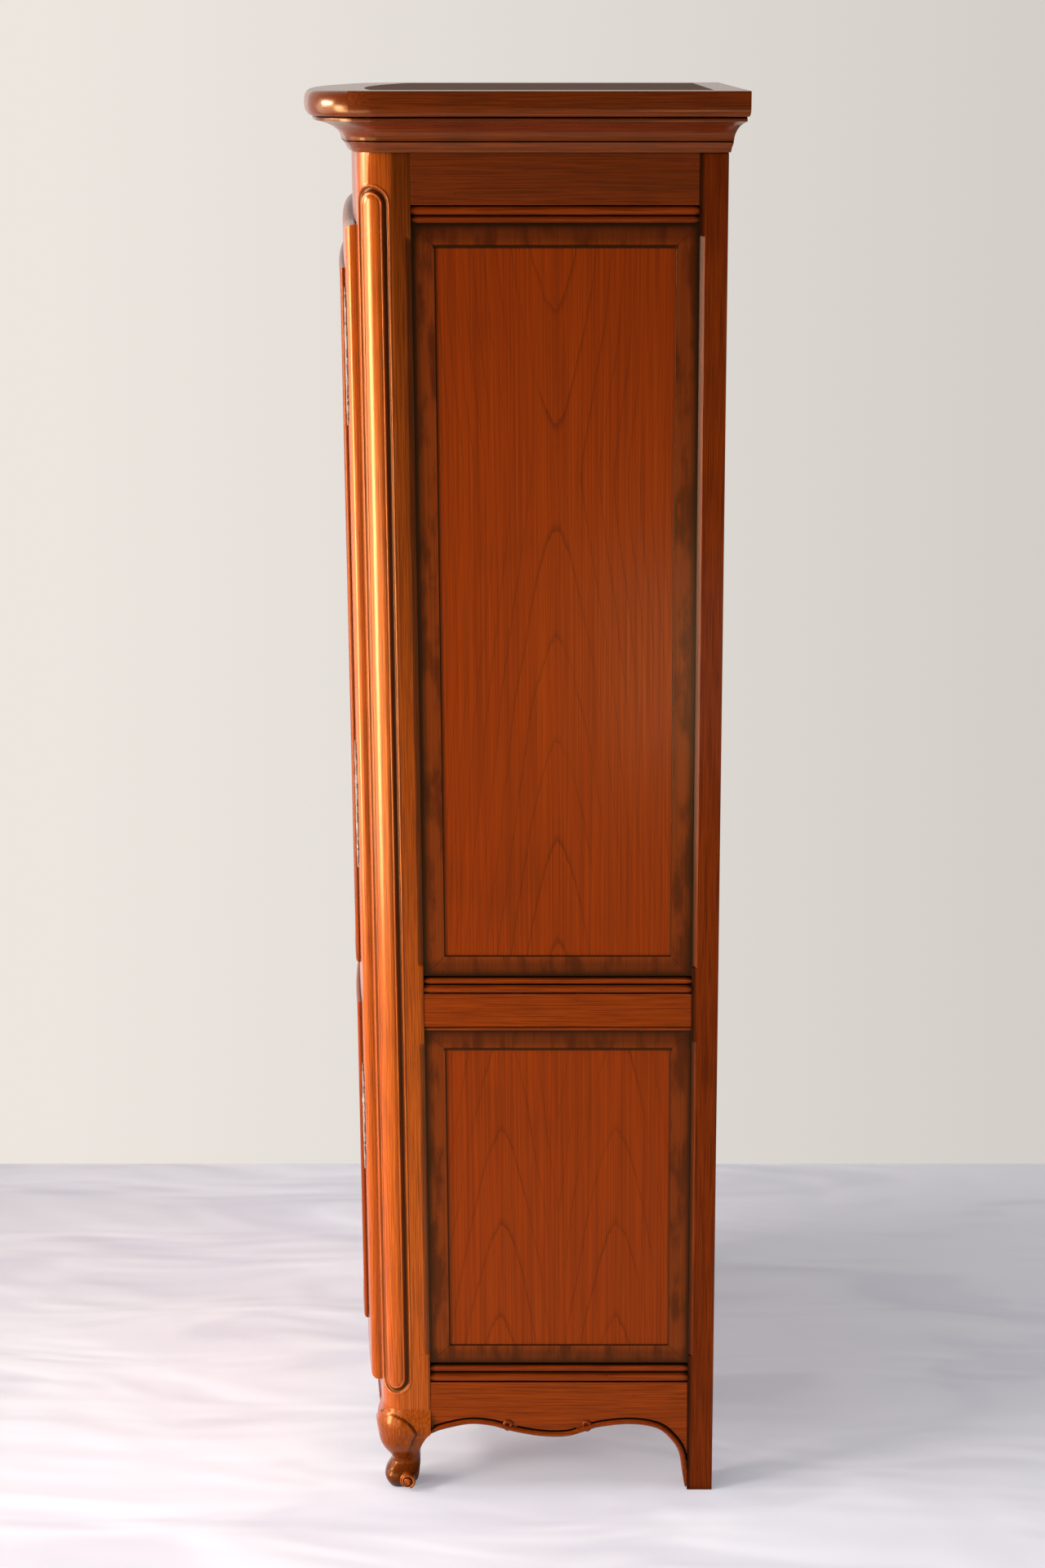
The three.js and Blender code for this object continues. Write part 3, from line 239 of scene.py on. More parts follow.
class Piece:
    """One piece of the press: a mesh that grows from rings and rows, and then takes its place."""

    def __init__(self, name: str) -> None:
        """Starts an empty piece."""
        self.name = name
        self.points: list[np.ndarray] = []
        self.faces: list[tuple[int, ...]] = []
        self.patina_and_shade: list[float] = []

    def add_points(self, points: Iterable[Sequence[float]], patina_and_shade: Optional[Iterable[float]] = None) -> list[int]:
        """Adds points.

        Args:
            points: Places in mm.
            patina_and_shade: How dark each point is painted, from 0 to 1: wax, and painted shade in hollows, creases
                and where parts meet.

        Returns:
            The new points' numbers.
        """
        start = len(self.points)
        self.points.extend(np.array(p, float) for p in points)
        count = len(self.points) - start
        self.patina_and_shade.extend([0.0] * count if patina_and_shade is None else [float(v) for v in patina_and_shade])
        return list(range(start, start + count))

    def add_band(self, near: Sequence[int], far: Sequence[int]) -> None:
        """Joins two closed rings of as many points with a band of faces."""
        for k, n in enumerate([*range(1, len(near)), 0]):
            self.faces.append((near[k], near[n], far[n], far[k]))

    def add_loft(self, rings: Sequence[Ring], patina_and_shade: Optional[Sequence[Sequence[float]]] = None) -> "Piece":
        """Joins a row of closed rings into a skin, filled at both ends.

        Args:
            rings: The rings, each with as many points.
            patina_and_shade: A value for each point of each ring.

        Returns:
            The piece itself.
        """
        ids = [self.add_points(r, None if patina_and_shade is None else patina_and_shade[i]) for i, r in enumerate(rings)]
        first = len(self.faces)
        for near, far in zip(ids, ids[1:]):
            self.add_band(near, far)
        self.faces.append(tuple(reversed(ids[0])))
        self.faces.append(tuple(ids[-1]))
        self.turn_out(first)
        return self

    def turn_out(self, first: int) -> None:
        """Turns the faces made since one so that a closed skin faces outwards."""
        volume = 0.0
        for f in self.faces[first:]:
            a = self.points[f[0]]
            for i in range(1, len(f) - 1):
                volume += float(np.dot(a, np.cross(self.points[f[i]], self.points[f[i + 1]])))
        if volume < 0:
            self.faces[first:] = [tuple(reversed(f)) for f in self.faces[first:]]

    def add_bar(
        self, path: np.ndarray, radii: Sequence[float], normal: np.ndarray, sides: int = 10, darkness: float = 0.0
    ) -> "Piece":
        """Adds a round bar along a path.

        Args:
            path: The points of its middle line.
            radii: Its radius at each point.
            normal: The outward direction at each point, or one for all.
            sides: How many sides its section has.
            darkness: The painted shade of its sunken half, where it meets the face.

        Returns:
            The piece itself.
        """
        normals = np.broadcast_to(normal, path.shape)
        rings, tones = [], []
        for i, spot in enumerate(path):
            along = path[min(i + 1, len(path) - 1)] - path[max(i - 1, 0)]
            along = along / np.linalg.norm(along)
            across = np.cross(along, normals[i])
            across = across / np.linalg.norm(across)
            out = np.cross(across, along)
            turns = 2 * math.pi * np.arange(sides) / sides
            rings.append(spot + radii[i] * (np.outer(np.cos(turns), across) + np.outer(np.sin(turns), out)))
            # painted shade on the sunken half, where the bar meets the face
            tones.append(darkness * np.clip(SUNKEN_FROM - np.sin(turns), 0, 1))
        return self.add_loft(rings, patina_and_shade=tones)

    def add_ball(self, centre: np.ndarray, radius: float) -> "Piece":
        """Adds a ball with flattened poles."""
        turns = np.radians(np.arange(0, 360, BALL_TURN))
        round_ring = np.column_stack([np.cos(turns), np.sin(turns), np.zeros(len(turns))])
        rings = [
            centre + round_ring * math.cos(lat) * radius + np.array([0, 0, math.sin(lat) * radius])
            for lat in np.radians(np.linspace(*BALL_RISE))
        ]
        return self.add_loft(rings)

    def mirrored(self, name: str) -> "Piece":
        """The same piece for the other side of the press."""
        other = Piece(name)
        other.points = [p * np.array([-1.0, 1.0, 1.0]) for p in self.points]
        other.faces = [tuple(reversed(f)) for f in self.faces]
        other.patina_and_shade = list(self.patina_and_shade)
        return other

    def mesh(self) -> bpy.types.Mesh:
        """The piece as a mesh, in metres in the row's frame."""
        mesh = bpy.data.meshes.new(self.name)
        places = np.array(self.points) + np.array([0.0, PLAN.shift, 0.0])
        mesh.from_pydata((places * MM).tolist(), [], self.faces)
        return mesh

    def place(
        self,
        material: bpy.types.Material,
        body: Body,
        slot: Slot,
        node: str,
        sharp: float = CRISP_OVER,
        ease: float = 0.0,
    ) -> bpy.types.Object:
        """Makes the mesh and sets it on its body.

        Args:
            material: Its finish.
            body: The body that carries it.
            slot: The record's material slot; not used.
            node: The CAD node that it stands for.
            sharp: The angle in degrees over which an edge stays crisp.
            ease: The width in mm by which crisp edges are eased.

        Returns:
            The new object.
        """
        mesh = self.mesh()
        # the darkness of each point: wax, and painted shade in hollows, creases and where parts meet
        tone = mesh.attributes.new("patina_and_shade", "FLOAT", "POINT")
        tone.data.foreach_set("value", np.array(self.patina_and_shade, np.float32))
        mesh.shade_smooth()
        mesh.set_sharp_from_angle(angle=math.radians(sharp))
        mesh.materials.append(material)
        piece = bpy.data.objects.new(self.name, mesh)
        bpy.context.scene.collection.objects.link(piece)
        if ease:
            ease_edges(piece, ease, sharp, True)
        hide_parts(node)
        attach(piece, body.value)
        return piece

    def place_both(self, material: bpy.types.Material, node: str, sharp: float) -> bpy.types.Object:
        """Sets a right-hand piece of the carcass's frame and its mirror image in their places.

        Args:
            material: Their finish.
            node: The CAD node on the right that the piece stands for.
            sharp: The angle in degrees over which an edge stays crisp.

        Returns:
            The object on the right.
        """
        right = self.place(material, Body.CARCASS, Slot.FRAME, node, sharp)
        left = self.mirrored(self.name.replace("right", "left"))
        left.place(material, Body.CARCASS, Slot.FRAME, node.replace("right", "left"), sharp)
        return right


def ease_edges(piece: bpy.types.Object, width: float, over: float, harden: bool) -> None:
    """Rounds a piece's crisp edges off.

    Args:
        piece: The piece.
        width: The width in mm of the rounding.
        over: The angle in degrees over which an edge is crisp.
        harden: Whether the faces beside the rounding stay flat to the light.
    """
    eased = piece.modifiers.new("eased_edges", "BEVEL")
    eased.width = width * MM
    eased.segments = 2
    eased.limit_method = "ANGLE"
    eased.angle_limit = math.radians(over)
    eased.harden_normals = harden


def dress_node(name: str, material: bpy.types.Material, ease: float) -> None:
    """Gives a CAD node that stays its finish, and eases its edges.

    Args:
        name: The node.
        material: Its finish.
        ease: The width in mm of the eased edges.
    """
    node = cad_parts[name]
    node.data.materials.clear()
    node.data.materials.append(material)
    joined = node.modifiers.new("joined_corners", "WELD")
    joined.merge_threshold = WELD_WITHIN * MM
    ease_edges(node, ease, NODE_CRISP_OVER, False)


# Finishes

Tone = bpy.types.NodeSocket | str | float | Sequence[float]


def linear(code: str) -> tuple[float, float, float, float]:
    """Turns an sRGB hex colour into the linear colour that the shader wants.

    Args:
        code: Six hex digits after a hash.

    Returns:
        Red, green, blue and alpha.
    """
    parts = [int(code[i : i + 2], 16) / 255 for i in (1, 3, 5)]
    return tuple(p / 12.92 if p <= 0.04045 else ((p + 0.055) / 1.055) ** 2.4 for p in parts) + (1.0,)


def add_node(
    tree: bpy.types.NodeTree, kind: str, inputs: dict[str | int, Tone], output: str | int = 0, **settings: object
) -> bpy.types.NodeSocket:
    """Adds a node with its settings and links.

    Args:
        tree: The tree that takes it.
        kind: The node's Blender type, without the leading ShaderNode.
        inputs: What each input gets: a socket is linked, a hex colour turned to linear, a value written.
        output: The name or number of the output to hand back.
        **settings: The node's own properties.

    Returns:
        One of its outputs.
    """
    node = tree.nodes.new("ShaderNode" + kind)
    for key, value in settings.items():
        setattr(node, key, value)
    for key, value in inputs.items():
        if isinstance(value, bpy.types.NodeSocket):
            tree.links.new(value, node.inputs[key])
        else:
            node.inputs[key].default_value = linear(value) if isinstance(value, str) else value
    return node.outputs[output] if len(node.outputs) else None


@dataclass(frozen=True)
class Wash:
    """How a tone is laid over a pattern: the level where it starts, where it is full, and its full share."""

    start: float
    full: float
    most: float = 1.0


class Cloud(Enum):
    """Which part of the clouds each pattern is taken from, so that no two agree."""

    FIBRES = 1.7
    SWAY = 2.2
    BANDS = 3.1
    RAGGED = 4.4
    STAIN = 5.3
    MOTTLE = 6.6
    KNOTS = 7.9
    BROKEN = 8.8


CLOUD_LAYERS = {"plain": 1.0, "soft": 2.0, "fine": 4.0}  # finer layers laid over a cloud
CLOUD_SPREAD = (1.0, 0.7, 1.3)  # how far each axis moves for one step of a cloud's part
CLOUD_ROUGHNESS = 0.55
CLOUD_RANGE = {1: 0.3, 2: 0.7}  # the levels that most of a cloud lies between
HOLLOW_RAYS = 4  # rays that look for a near face
HOLLOW_WAX_AND_SHADE = (0.9, 0.38)  # the open share of a place where the painted shade and wax start, and where they are full


class Shade:
    """One material's nodes, added a step at a time."""

    def __init__(self, name: str) -> None:
        """Starts an empty material and finds the place on the press that its patterns follow."""
        self.material = bpy.data.materials.new(name)
        self.material.use_nodes = True
        self.tree = self.material.node_tree
        self.tree.nodes.clear()
        self.place = self.add("TexCoord", {}, "Object")

    def add(
        self, kind: str, inputs: dict[str | int, Tone], output: str | int = 0, **settings: object
    ) -> bpy.types.NodeSocket:
        """Adds a node to this material; see add_node."""
        return add_node(self.tree, kind, inputs, output, **settings)

    def cells(
        self, size: Sequence[float], seed: float, detail: float = 3.0, waver: float = 0.0
    ) -> bpy.types.NodeSocket:
        """A cloud whose cells have real sizes.

        Args:
            size: A cell's length along X, Y and Z, in mm.
            seed: Which part of the cloud is used.
            detail: How many finer layers it has.
            waver: How far it is twisted.

        Returns:
            The cloud, about 0.2 to 0.8.
        """
        scale = [1 / (MM * length) for length in size]
        part = [seed * spread for spread in CLOUD_SPREAD]
        spot = self.add("Mapping", {"Vector": self.place, "Scale": scale, "Location": part})
        inputs = {"Vector": spot, "Scale": 1.0, "Detail": detail, "Roughness": CLOUD_ROUGHNESS, "Distortion": waver}
        return self.add("TexNoise", inputs, "Fac")

    def wash(self, colour: Tone, tone: Tone, pattern: Tone, wash: Wash) -> bpy.types.NodeSocket:
        """Washes a tone over a colour where a pattern calls for it.

        Args:
            colour: What lies below.
            tone: What is washed over it.
            pattern: What the wash follows.
            wash: The levels and the strength of the wash.

        Returns:
            The washed colour.
        """
        levels = {0: pattern, 1: wash.start, 2: wash.full, 4: wash.most}
        share = self.add("MapRange", levels, interpolation_type="SMOOTHSTEP")
        return self.add("Mix", {0: share, 6: colour, 7: tone}, 2, data_type="RGBA")

    def carried_darkness(self) -> bpy.types.NodeSocket:
        """The darkness that the pieces carry from point to point: wax, and painted shade in their hollows and creases.
        """
        return self.add("Attribute", {}, "Fac", attribute_name="patina_and_shade")

    def hollows(self, colour: Tone, tone: Tone, reach: float, most: float) -> bpy.types.NodeSocket:
        """Paints shade where the shape closes in, which on the wood also stands for wax and on the metal for tarnish,
        and adds the darkness that the pieces carry.

        Args:
            colour: What lies below.
            tone: The dark colour of the painted shade and wax.
            reach: How near the other face has to be, in mm.
            most: How much of the dark colour lies in the tightest hollow.

        Returns:
            The colour with its wax.
        """
        # painted shade: the less open a place is, the darker it is washed, partly standing for the wax, on metal the
        # tarnish, gathered there
        open_share = self.add("AmbientOcclusion", {"Distance": reach * MM}, "AO", samples=HOLLOW_RAYS)
        waxed_and_shaded = self.wash(colour, tone, open_share, Wash(*HOLLOW_WAX_AND_SHADE, most))
        return self.wash(waxed_and_shaded, tone, self.carried_darkness(), Wash(0.0, 1.0))

    def close(self, inputs: dict[str | int, Tone], relief: Tone, depth: float, strength: float) -> bpy.types.Material:
        """Closes the material with its surface.

        Args:
            inputs: What the shader's sockets get.
            relief: The height of the fine relief, from 0 to 1.
            depth: The depth of the relief, in mm.
            strength: How much of it shows.

        Returns:
            The material.
        """
        normal = self.add("Bump", {"Height": relief, "Distance": depth * MM, "Strength": strength})
        surface = self.add("BsdfPrincipled", {**inputs, "Normal": normal})
        self.add("OutputMaterial", {"Surface": surface})
        return self.material


@dataclass(frozen=True)
class SatinCherry:
    """Cherry, planed and scraped, stained red brown, and rubbed to a satin varnish.

    The eye gets long fibres a millimetre or two wide, slow bands of lighter and darker red brown, pin knots,
    and dark wax with painted shade gathered in the hollows. The satin film shines broad and golden, for the varnish is
    amber.
    """

    name: str
    grain: Grain
    light: str = "#903806"
    base: str = "#7E2D04"
    dark: str = "#5A1D03"
    hollow: str = "#100401"
    amber: str = "#FFB464"
    fibre: float = 1.1
    fibre_run: float = 80.0
    band: float = 24.0
    band_run: float = 900.0
    seed: float = 0.0
    roughness: float = 0.21
    gloss: float = 0.4
    film: float = 0.04
    # the painted shade of the hollows, which also stands for wax there: how near the other face has to be, in mm, and
    # how dark it grows
    wax_and_shade_reach: float = 12.0
    wax_and_shade: float = 0.92
    shaded_edge: Optional[Wash] = None
    cloud: tuple[float, float, float] = (150.0, 150.0, 210.0)
    knot: float = 2.4
    knot_run: float = 7.0
    band_dark: Wash = Wash(0.5, 0.3, 0.45)
    band_light: Wash = Wash(0.5, 0.7, 0.45)
    cloud_dark: Wash = Wash(0.55, 0.75, 0.45)
    fibre_light: Wash = Wash(0.5, 0.38, 0.6)
    fibre_dark: Wash = Wash(0.48, 0.6, 0.65)
    knot_dark: Wash = Wash(0.76, 0.82, 0.7)
    rubbed: tuple[float, float] = (-0.03, 0.06)
    ior: float = 1.5
    film_roughness: float = 0.12
    # how much of the gloss stays where the pieces carry wax and painted shade
    waxed_and_shaded_gloss: float = 0.1
    relief: float = 0.05
    relief_shown: float = 0.3

    def along(self, across: float, run: float) -> list[float]:
        """A cell's size in mm: narrow across the fibres and long along them."""
        size = [across, across, across]
        size[self.grain.value] = run
        return size

    def fibres(self, shade: Shade) -> bpy.types.NodeSocket:
        """The fine fibres, which colour and relief both follow."""
        size = self.along(self.fibre, self.fibre_run)
        return shade.cells(size, self.seed + Cloud.FIBRES.value, CLOUD_LAYERS["fine"])

    def stain(self, shade: Shade, fibres: bpy.types.NodeSocket) -> bpy.types.NodeSocket:
        """The slow bands, the clouds and the fibres, as one colour."""
        size = self.along(self.band, self.band_run)
        bands = shade.cells(size, self.seed + Cloud.BANDS.value, CLOUD_LAYERS["fine"])
        clouds = shade.cells(self.cloud, self.seed + Cloud.STAIN.value, CLOUD_LAYERS["soft"])
        colour = self.base
        for tone, pattern, wash in (
            (self.dark, bands, self.band_dark),
            (self.light, bands, self.band_light),
            (self.dark, clouds, self.cloud_dark),
            (self.light, fibres, self.fibre_light),
            (self.dark, fibres, self.fibre_dark),
        ):
            colour = shade.wash(colour, tone, pattern, wash)
        return colour

    def roughened(self, fibres: Tone) -> dict[int, Tone]:
        """The levels of a roughness that follows the fibres."""
        smooth, rough = (self.roughness + step for step in self.rubbed)
        return {0: fibres, **CLOUD_RANGE, 3: smooth, 4: rough}

    def varnish(self, shade: Shade, colour: Tone, fibres: Tone) -> bpy.types.Material:
        """Lays the satin varnish over the colour and closes the material; it is duller where the pieces carry wax and
        painted shade.
        """
        waxed_and_shaded = shade.carried_darkness()
        surface = {
            "Base Color": colour,
            "Roughness": shade.add("MapRange", self.roughened(fibres)),
            "IOR": self.ior,
            "Specular IOR Level": shade.add("MapRange", {0: waxed_and_shaded, 3: self.gloss, 4: self.gloss * self.waxed_and_shaded_gloss}),
            "Specular Tint": self.amber,
            "Coat Weight": shade.add("MapRange", {0: waxed_and_shaded, 3: self.film, 4: 0.0}),
            "Coat Roughness": self.film_roughness,
        }
        return shade.close(surface, fibres, self.relief, self.relief_shown)

    def build(self) -> bpy.types.Material:
        """Makes the material."""
        shade = Shade(self.name)
        fibres = self.fibres(shade)
        colour = self.stain(shade, fibres)
        knots = shade.cells(self.along(self.knot, self.knot_run), self.seed + Cloud.KNOTS.value, CLOUD_LAYERS["plain"])
        colour = shade.wash(colour, self.hollow, knots, self.knot_dark)
        # painted shade along one edge in depth: on the rear posts, the chamfered front edge beside the panel
        if self.shaded_edge:
            depth = shade.add("SeparateXYZ", {0: shade.place}, 1)
            colour = shade.wash(colour, self.hollow, depth, self.shaded_edge)
        # painted shade in the hollows, partly wax, and the darkness that the piece carries
        colour = shade.hollows(colour, self.hollow, self.wax_and_shade_reach, self.wax_and_shade)
        return self.varnish(shade, colour, fibres)


@dataclass(frozen=True)
class PanelPlace:
    """Where a panel's lowered field lies, and its figure, in mm in the row frame."""

    low: tuple[float, float]
    high: tuple[float, float]
    waist: float
    axis: int = 1

    def spread(self, sign: float) -> list[float]:
        """Half the sum of the field's two corners, or half their difference for a sign of -1, in metres."""
        spot = [0.0, 0.0, 0.0]
        for axis, low, high in zip((self.axis, 2), self.low, self.high):
            spot[axis] = (high + sign * low) / 2 * MM
        return spot

    def middle(self) -> list[float]:
        """The field's middle, in metres."""
        return self.spread(1.0)

    def half(self) -> list[float]:
        """Half the field's size, in metres."""
        return self.spread(-1.0)


@dataclass(frozen=True)
class CherryVeneer(SatinCherry):
    """Crown-cut cherry veneer on a panel, rubbed to a satin varnish, with darker mitred borders.

    The eye gets one tall figure of nested peaks, an orange ground with fine upright fibres, and a browner
    border with painted shade and dark wax gathering towards the mouldings, and painted shadow lines at the field's
    rim.
    """

    light: str = "#923604"
    base: str = "#842C03"
    dark: str = "#6A2303"
    line: str = "#3C1202"
    border: str = "#742E0A"
    border_dark: str = "#3A1004"
    fibre: float = 1.3
    fibre_run: float = 300.0
    place: Optional[PanelPlace] = None
    bordered: bool = True
    matched: float = 0.0
    # The figure, in mm: how steep its peaks are, how wide a ring is, and how far a peak lies from the waist
    steep: float = 0.36
    flare: float = 1.6
    ring: float = 150.0
    fine_rings: float = 5.0
    fine_share: float = 0.25
    tip: float = 78.0
    round_tip: float = 25.0
    sway: float = 22.0
    sway_cell: tuple[float, float, float] = (220.0, 220.0, 420.0)
    ragged: float = 24.0
    ragged_cell: tuple[float, float, float] = (8.0, 8.0, 240.0)
    late_edge: float = 13.0
    fine_edge: float = 4.0
    broken_cell: tuple[float, float, float] = (70.0, 70.0, 260.0)
    broken: tuple[float, ...] = (0.35, 0.6, 0.3, 1.0)
    figure_dark: Wash = Wash(0.0, 1.0, 0.48)
    # The border: its clouds, the painted shade under its head, its dark mitre line, the painted shade and wax along
    # its outer edge, and the painted shadow lines along the field's rim and head
    mottle_cell: tuple[float, float, float] = (24.0, 24.0, 85.0)
    mottle: Wash = Wash(0.44, 0.66, 0.75)
    border_fibres: Wash = Wash(0.45, 0.65, 0.35)
    head_shade: Wash = Wash(0.0, 14 * MM, 0.5)
    mitre_line: Wash = Wash(1.3 * MM, 0.2 * MM, 0.5)
    outer_shade_and_wax: tuple[Wash, ...] = (Wash(16 * MM, 32 * MM, 0.75), Wash(24 * MM, 30 * MM, 0.8))
    field_edge: Wash = Wash(-0.2 * MM, 0.2 * MM)
    rim_shadow_line: Wash = Wash(1.5 * MM, 0.4 * MM, 0.75)
    head_shadow_line: Wash = Wash(3.4 * MM, 1.6 * MM, 0.85)

    def figure(self, shade: Shade, spot: bpy.types.NodeSocket) -> bpy.types.NodeSocket:
        """The growth rings that the crown cut lays open: tall peaks, tip to tip over a waist."""
        parts = [shade.add("SeparateXYZ", {0: spot}, i) for i in range(3)]
        sway = shade.cells(self.sway_cell, self.seed + Cloud.SWAY.value, CLOUD_LAYERS["soft"])
        swayed = {0: sway, 1: self.sway * MM, 2: parts[self.place.axis]}
        side = shade.add("Math", swayed, operation="MULTIPLY_ADD")
        side = shade.add("Math", {0: side, 1: self.sway * MM / 2}, operation="SUBTRACT")
        if self.matched:
            side = shade.add("Math", {0: side}, operation="ABSOLUTE")
            side = shade.add("Math", {0: side, 1: self.matched * MM}, operation="SUBTRACT")
        beside = shade.add("Math", {0: side, 1: 1 / MM}, operation="MULTIPLY")
        beside = shade.add("Math", {0: beside}, operation="ABSOLUTE")
        beside = shade.add("Math", {0: beside, 1: self.flare}, operation="POWER")
        lift = self.place.middle()[2] - self.place.waist * MM
        up = shade.add("Math", {0: parts[2], 1: lift}, operation="ADD")
        height = shade.add("CombineXYZ", {"X": up, "Y": self.round_tip * MM})
        height = shade.add("VectorMath", {0: height}, "Value", operation="LENGTH")
        rings = shade.add("Math", {0: beside, 1: -self.steep * MM, 2: height}, operation="MULTIPLY_ADD")
        ragged = shade.cells(self.ragged_cell, self.seed + Cloud.RAGGED.value)
        rings = shade.add("Math", {0: ragged, 1: self.ragged * MM, 2: rings}, operation="MULTIPLY_ADD")
        start = self.ring - self.tip - self.ragged / 2
        rings = shade.add("Math", {0: rings, 1: start * MM}, operation="ADD")
        late = []
        for width, edge in ((self.ring, self.late_edge), (self.ring / self.fine_rings, self.fine_edge)):
            cycle = shade.add("Math", {0: rings, 1: 1 / (width * MM)}, operation="MULTIPLY")
            cycle = shade.add("Math", {0: cycle}, operation="FRACT")
            late.append(shade.add("Math", {0: cycle, 1: edge}, operation="POWER"))
        return shade.add("Math", {0: late[1], 1: self.fine_share, 2: late[0]}, operation="MULTIPLY_ADD")

    def borders(self, shade: Shade, colour: Tone, spot: Tone, fibres: Tone) -> bpy.types.NodeSocket:
        """Lays the mitred border, its dark mitre line, the painted shade and wax beside the mouldings, and the painted
        shadow lines at the field's rim and head.
        """
        off = shade.add("VectorMath", {0: spot}, operation="ABSOLUTE")
        off = shade.add("VectorMath", {0: off, 1: self.place.half()}, operation="SUBTRACT")
        beside, above = (shade.add("SeparateXYZ", {0: off}, i) for i in (self.place.axis, 2))
        outside = shade.add("Math", {0: beside, 1: above}, operation="MAXIMUM")
        mottle = shade.cells(self.mottle_cell, self.seed + Cloud.MOTTLE.value, CLOUD_LAYERS["fine"])
        edge = shade.wash(self.border, self.border_dark, mottle, self.mottle)
        edge = shade.wash(edge, self.border_dark, fibres, self.border_fibres)
        edge = shade.wash(edge, self.border_dark, above, self.head_shade)
        mitre = shade.add("Math", {0: beside, 1: above}, operation="SUBTRACT")
        mitre = shade.add("Math", {0: mitre}, operation="ABSOLUTE")
        edge = shade.wash(edge, self.hollow, mitre, self.mitre_line)
        # painted shade, partly wax: the border darkens towards its outer edge beside the mouldings
        for wax_and_shade in self.outer_shade_and_wax:
            edge = shade.wash(edge, self.hollow, outside, wax_and_shade)
        colour = shade.wash(colour, edge, outside, self.field_edge)
        # painted shadow of the field's step: a dark line along its rim
        rim = shade.add("Math", {0: outside}, operation="ABSOLUTE")
        colour = shade.wash(colour, self.hollow, rim, self.rim_shadow_line)
        # painted shadow under the head of the field: a broader dark line along its top edge
        height = shade.add("SeparateXYZ", {0: spot}, 2)
        head = shade.add("Math", {0: height, 1: self.place.half()[2]}, operation="SUBTRACT")
        head = shade.add("Math", {0: head}, operation="ABSOLUTE")
        head = shade.add("Math", {0: head, 1: beside}, operation="MAXIMUM")
        return shade.wash(colour, self.hollow, head, self.head_shadow_line)

    def build(self) -> bpy.types.Material:
        """Makes the material."""
        shade = Shade(self.name)
        fibres = self.fibres(shade)
        spot = shade.add("VectorMath", {0: shade.place, 1: self.place.middle()}, operation="SUBTRACT")
        colour = self.stain(shade, fibres)
        broken = shade.cells(self.broken_cell, self.seed + Cloud.BROKEN.value, CLOUD_LAYERS["soft"])
        shown = shade.add("MapRange", {0: broken, **dict(enumerate(self.broken, 1))})
        shown = shade.add("Math", {0: self.figure(shade, spot), 1: shown}, operation="MULTIPLY")
        colour = shade.wash(colour, self.line, shown, self.figure_dark)
        if self.bordered:
            colour = self.borders(shade, colour, spot, fibres)
        # painted shade in the hollows, partly wax, and the darkness that the piece carries
        colour = shade.hollows(colour, self.hollow, self.wax_and_shade_reach, self.wax_and_shade)
        return self.varnish(shade, colour, fibres)


@dataclass(frozen=True)
class WaxedBoard(SatinCherry):
    """Plain boards inside the press, planed and waxed: paler, duller and barely stained."""

    light: str = "#B98255"
    base: str = "#A56F44"
    dark: str = "#855433"
    hollow: str = "#4A2C18"
    roughness: float = 0.55
    rubbed: tuple[float, float] = (-0.05, 0.06)
    relief: float = 0.06
    relief_shown: float = 0.4

    def build(self) -> bpy.types.Material:
        """Makes the material."""
        shade = Shade(self.name)
        fibres = self.fibres(shade)
        surface = {
            "Base Color": self.stain(shade, fibres),
            "Roughness": shade.add("MapRange", self.roughened(fibres)),
            "Specular IOR Level": self.gloss,
        }
        return shade.close(surface, fibres, self.relief, self.relief_shown)


@dataclass(frozen=True)
class SilveredMetal:
    """Silvered brass, cast, pierced and gone dull: bright where it is rubbed, brown grey in its hollows."""

    name: str = "silvered_brass_worn"
    bright: str = "#D8D2C4"
    tarnish: str = "#4C4238"
    cloud: tuple[float, float, float] = (9.0, 9.0, 9.0)
    grit: tuple[float, float, float] = (1.2, 1.2, 1.2)
    seeds: tuple[float, float] = (1.0, 2.0)
    tarnished: Wash = Wash(0.48, 0.72, 0.6)
    roughness: tuple[float, float] = (0.22, 0.4)
    hollow_reach: float = 3.0
    hollow_dark: float = 0.9
    relief: float = 0.04
    relief_shown: float = 0.4

    def build(self) -> bpy.types.Material:
        """Makes the material."""
        shade = Shade(self.name)
        cloud = shade.cells(self.cloud, self.seeds[0], CLOUD_LAYERS["fine"])
        grit = shade.cells(self.grit, self.seeds[1])
        colour = shade.wash(self.bright, self.tarnish, cloud, self.tarnished)
        smooth, rough = self.roughness
        surface = {
            "Base Color": shade.hollows(colour, self.tarnish, self.hollow_reach, self.hollow_dark),
            "Metallic": 1.0,
            "Roughness": shade.add("MapRange", {0: cloud, **CLOUD_RANGE, 3: smooth, 4: rough}),
        }
        return shade.close(surface, grit, self.relief, self.relief_shown)


@dataclass(frozen=True)
class OiledIron:
    """Rolled iron of a rim lock, blackened with oil: dark, with faint rolling streaks."""

    name: str = "rolled_iron_oiled"
    base: str = "#4A4641"
    dark: str = "#2A2724"
    streak: tuple[float, float, float] = (25.0, 2.5, 2.5)
    seed: float = 3.0
    streak_dark: Wash = Wash(0.35, 0.65)
    metallic: float = 0.85
    roughness: tuple[float, float] = (0.38, 0.55)
    relief: float = 0.03
    relief_shown: float = 0.4

    def build(self) -> bpy.types.Material:
        """Makes the material."""
        shade = Shade(self.name)
        streak = shade.cells(self.streak, self.seed, CLOUD_LAYERS["fine"])
        smooth, rough = self.roughness
        surface = {
            "Base Color": shade.wash(self.base, self.dark, streak, self.streak_dark),
            "Metallic": self.metallic,
            "Roughness": shade.add("MapRange", {0: streak, **CLOUD_RANGE, 3: smooth, 4: rough}),
        }
        return shade.close(surface, streak, self.relief, self.relief_shown)


# Studio


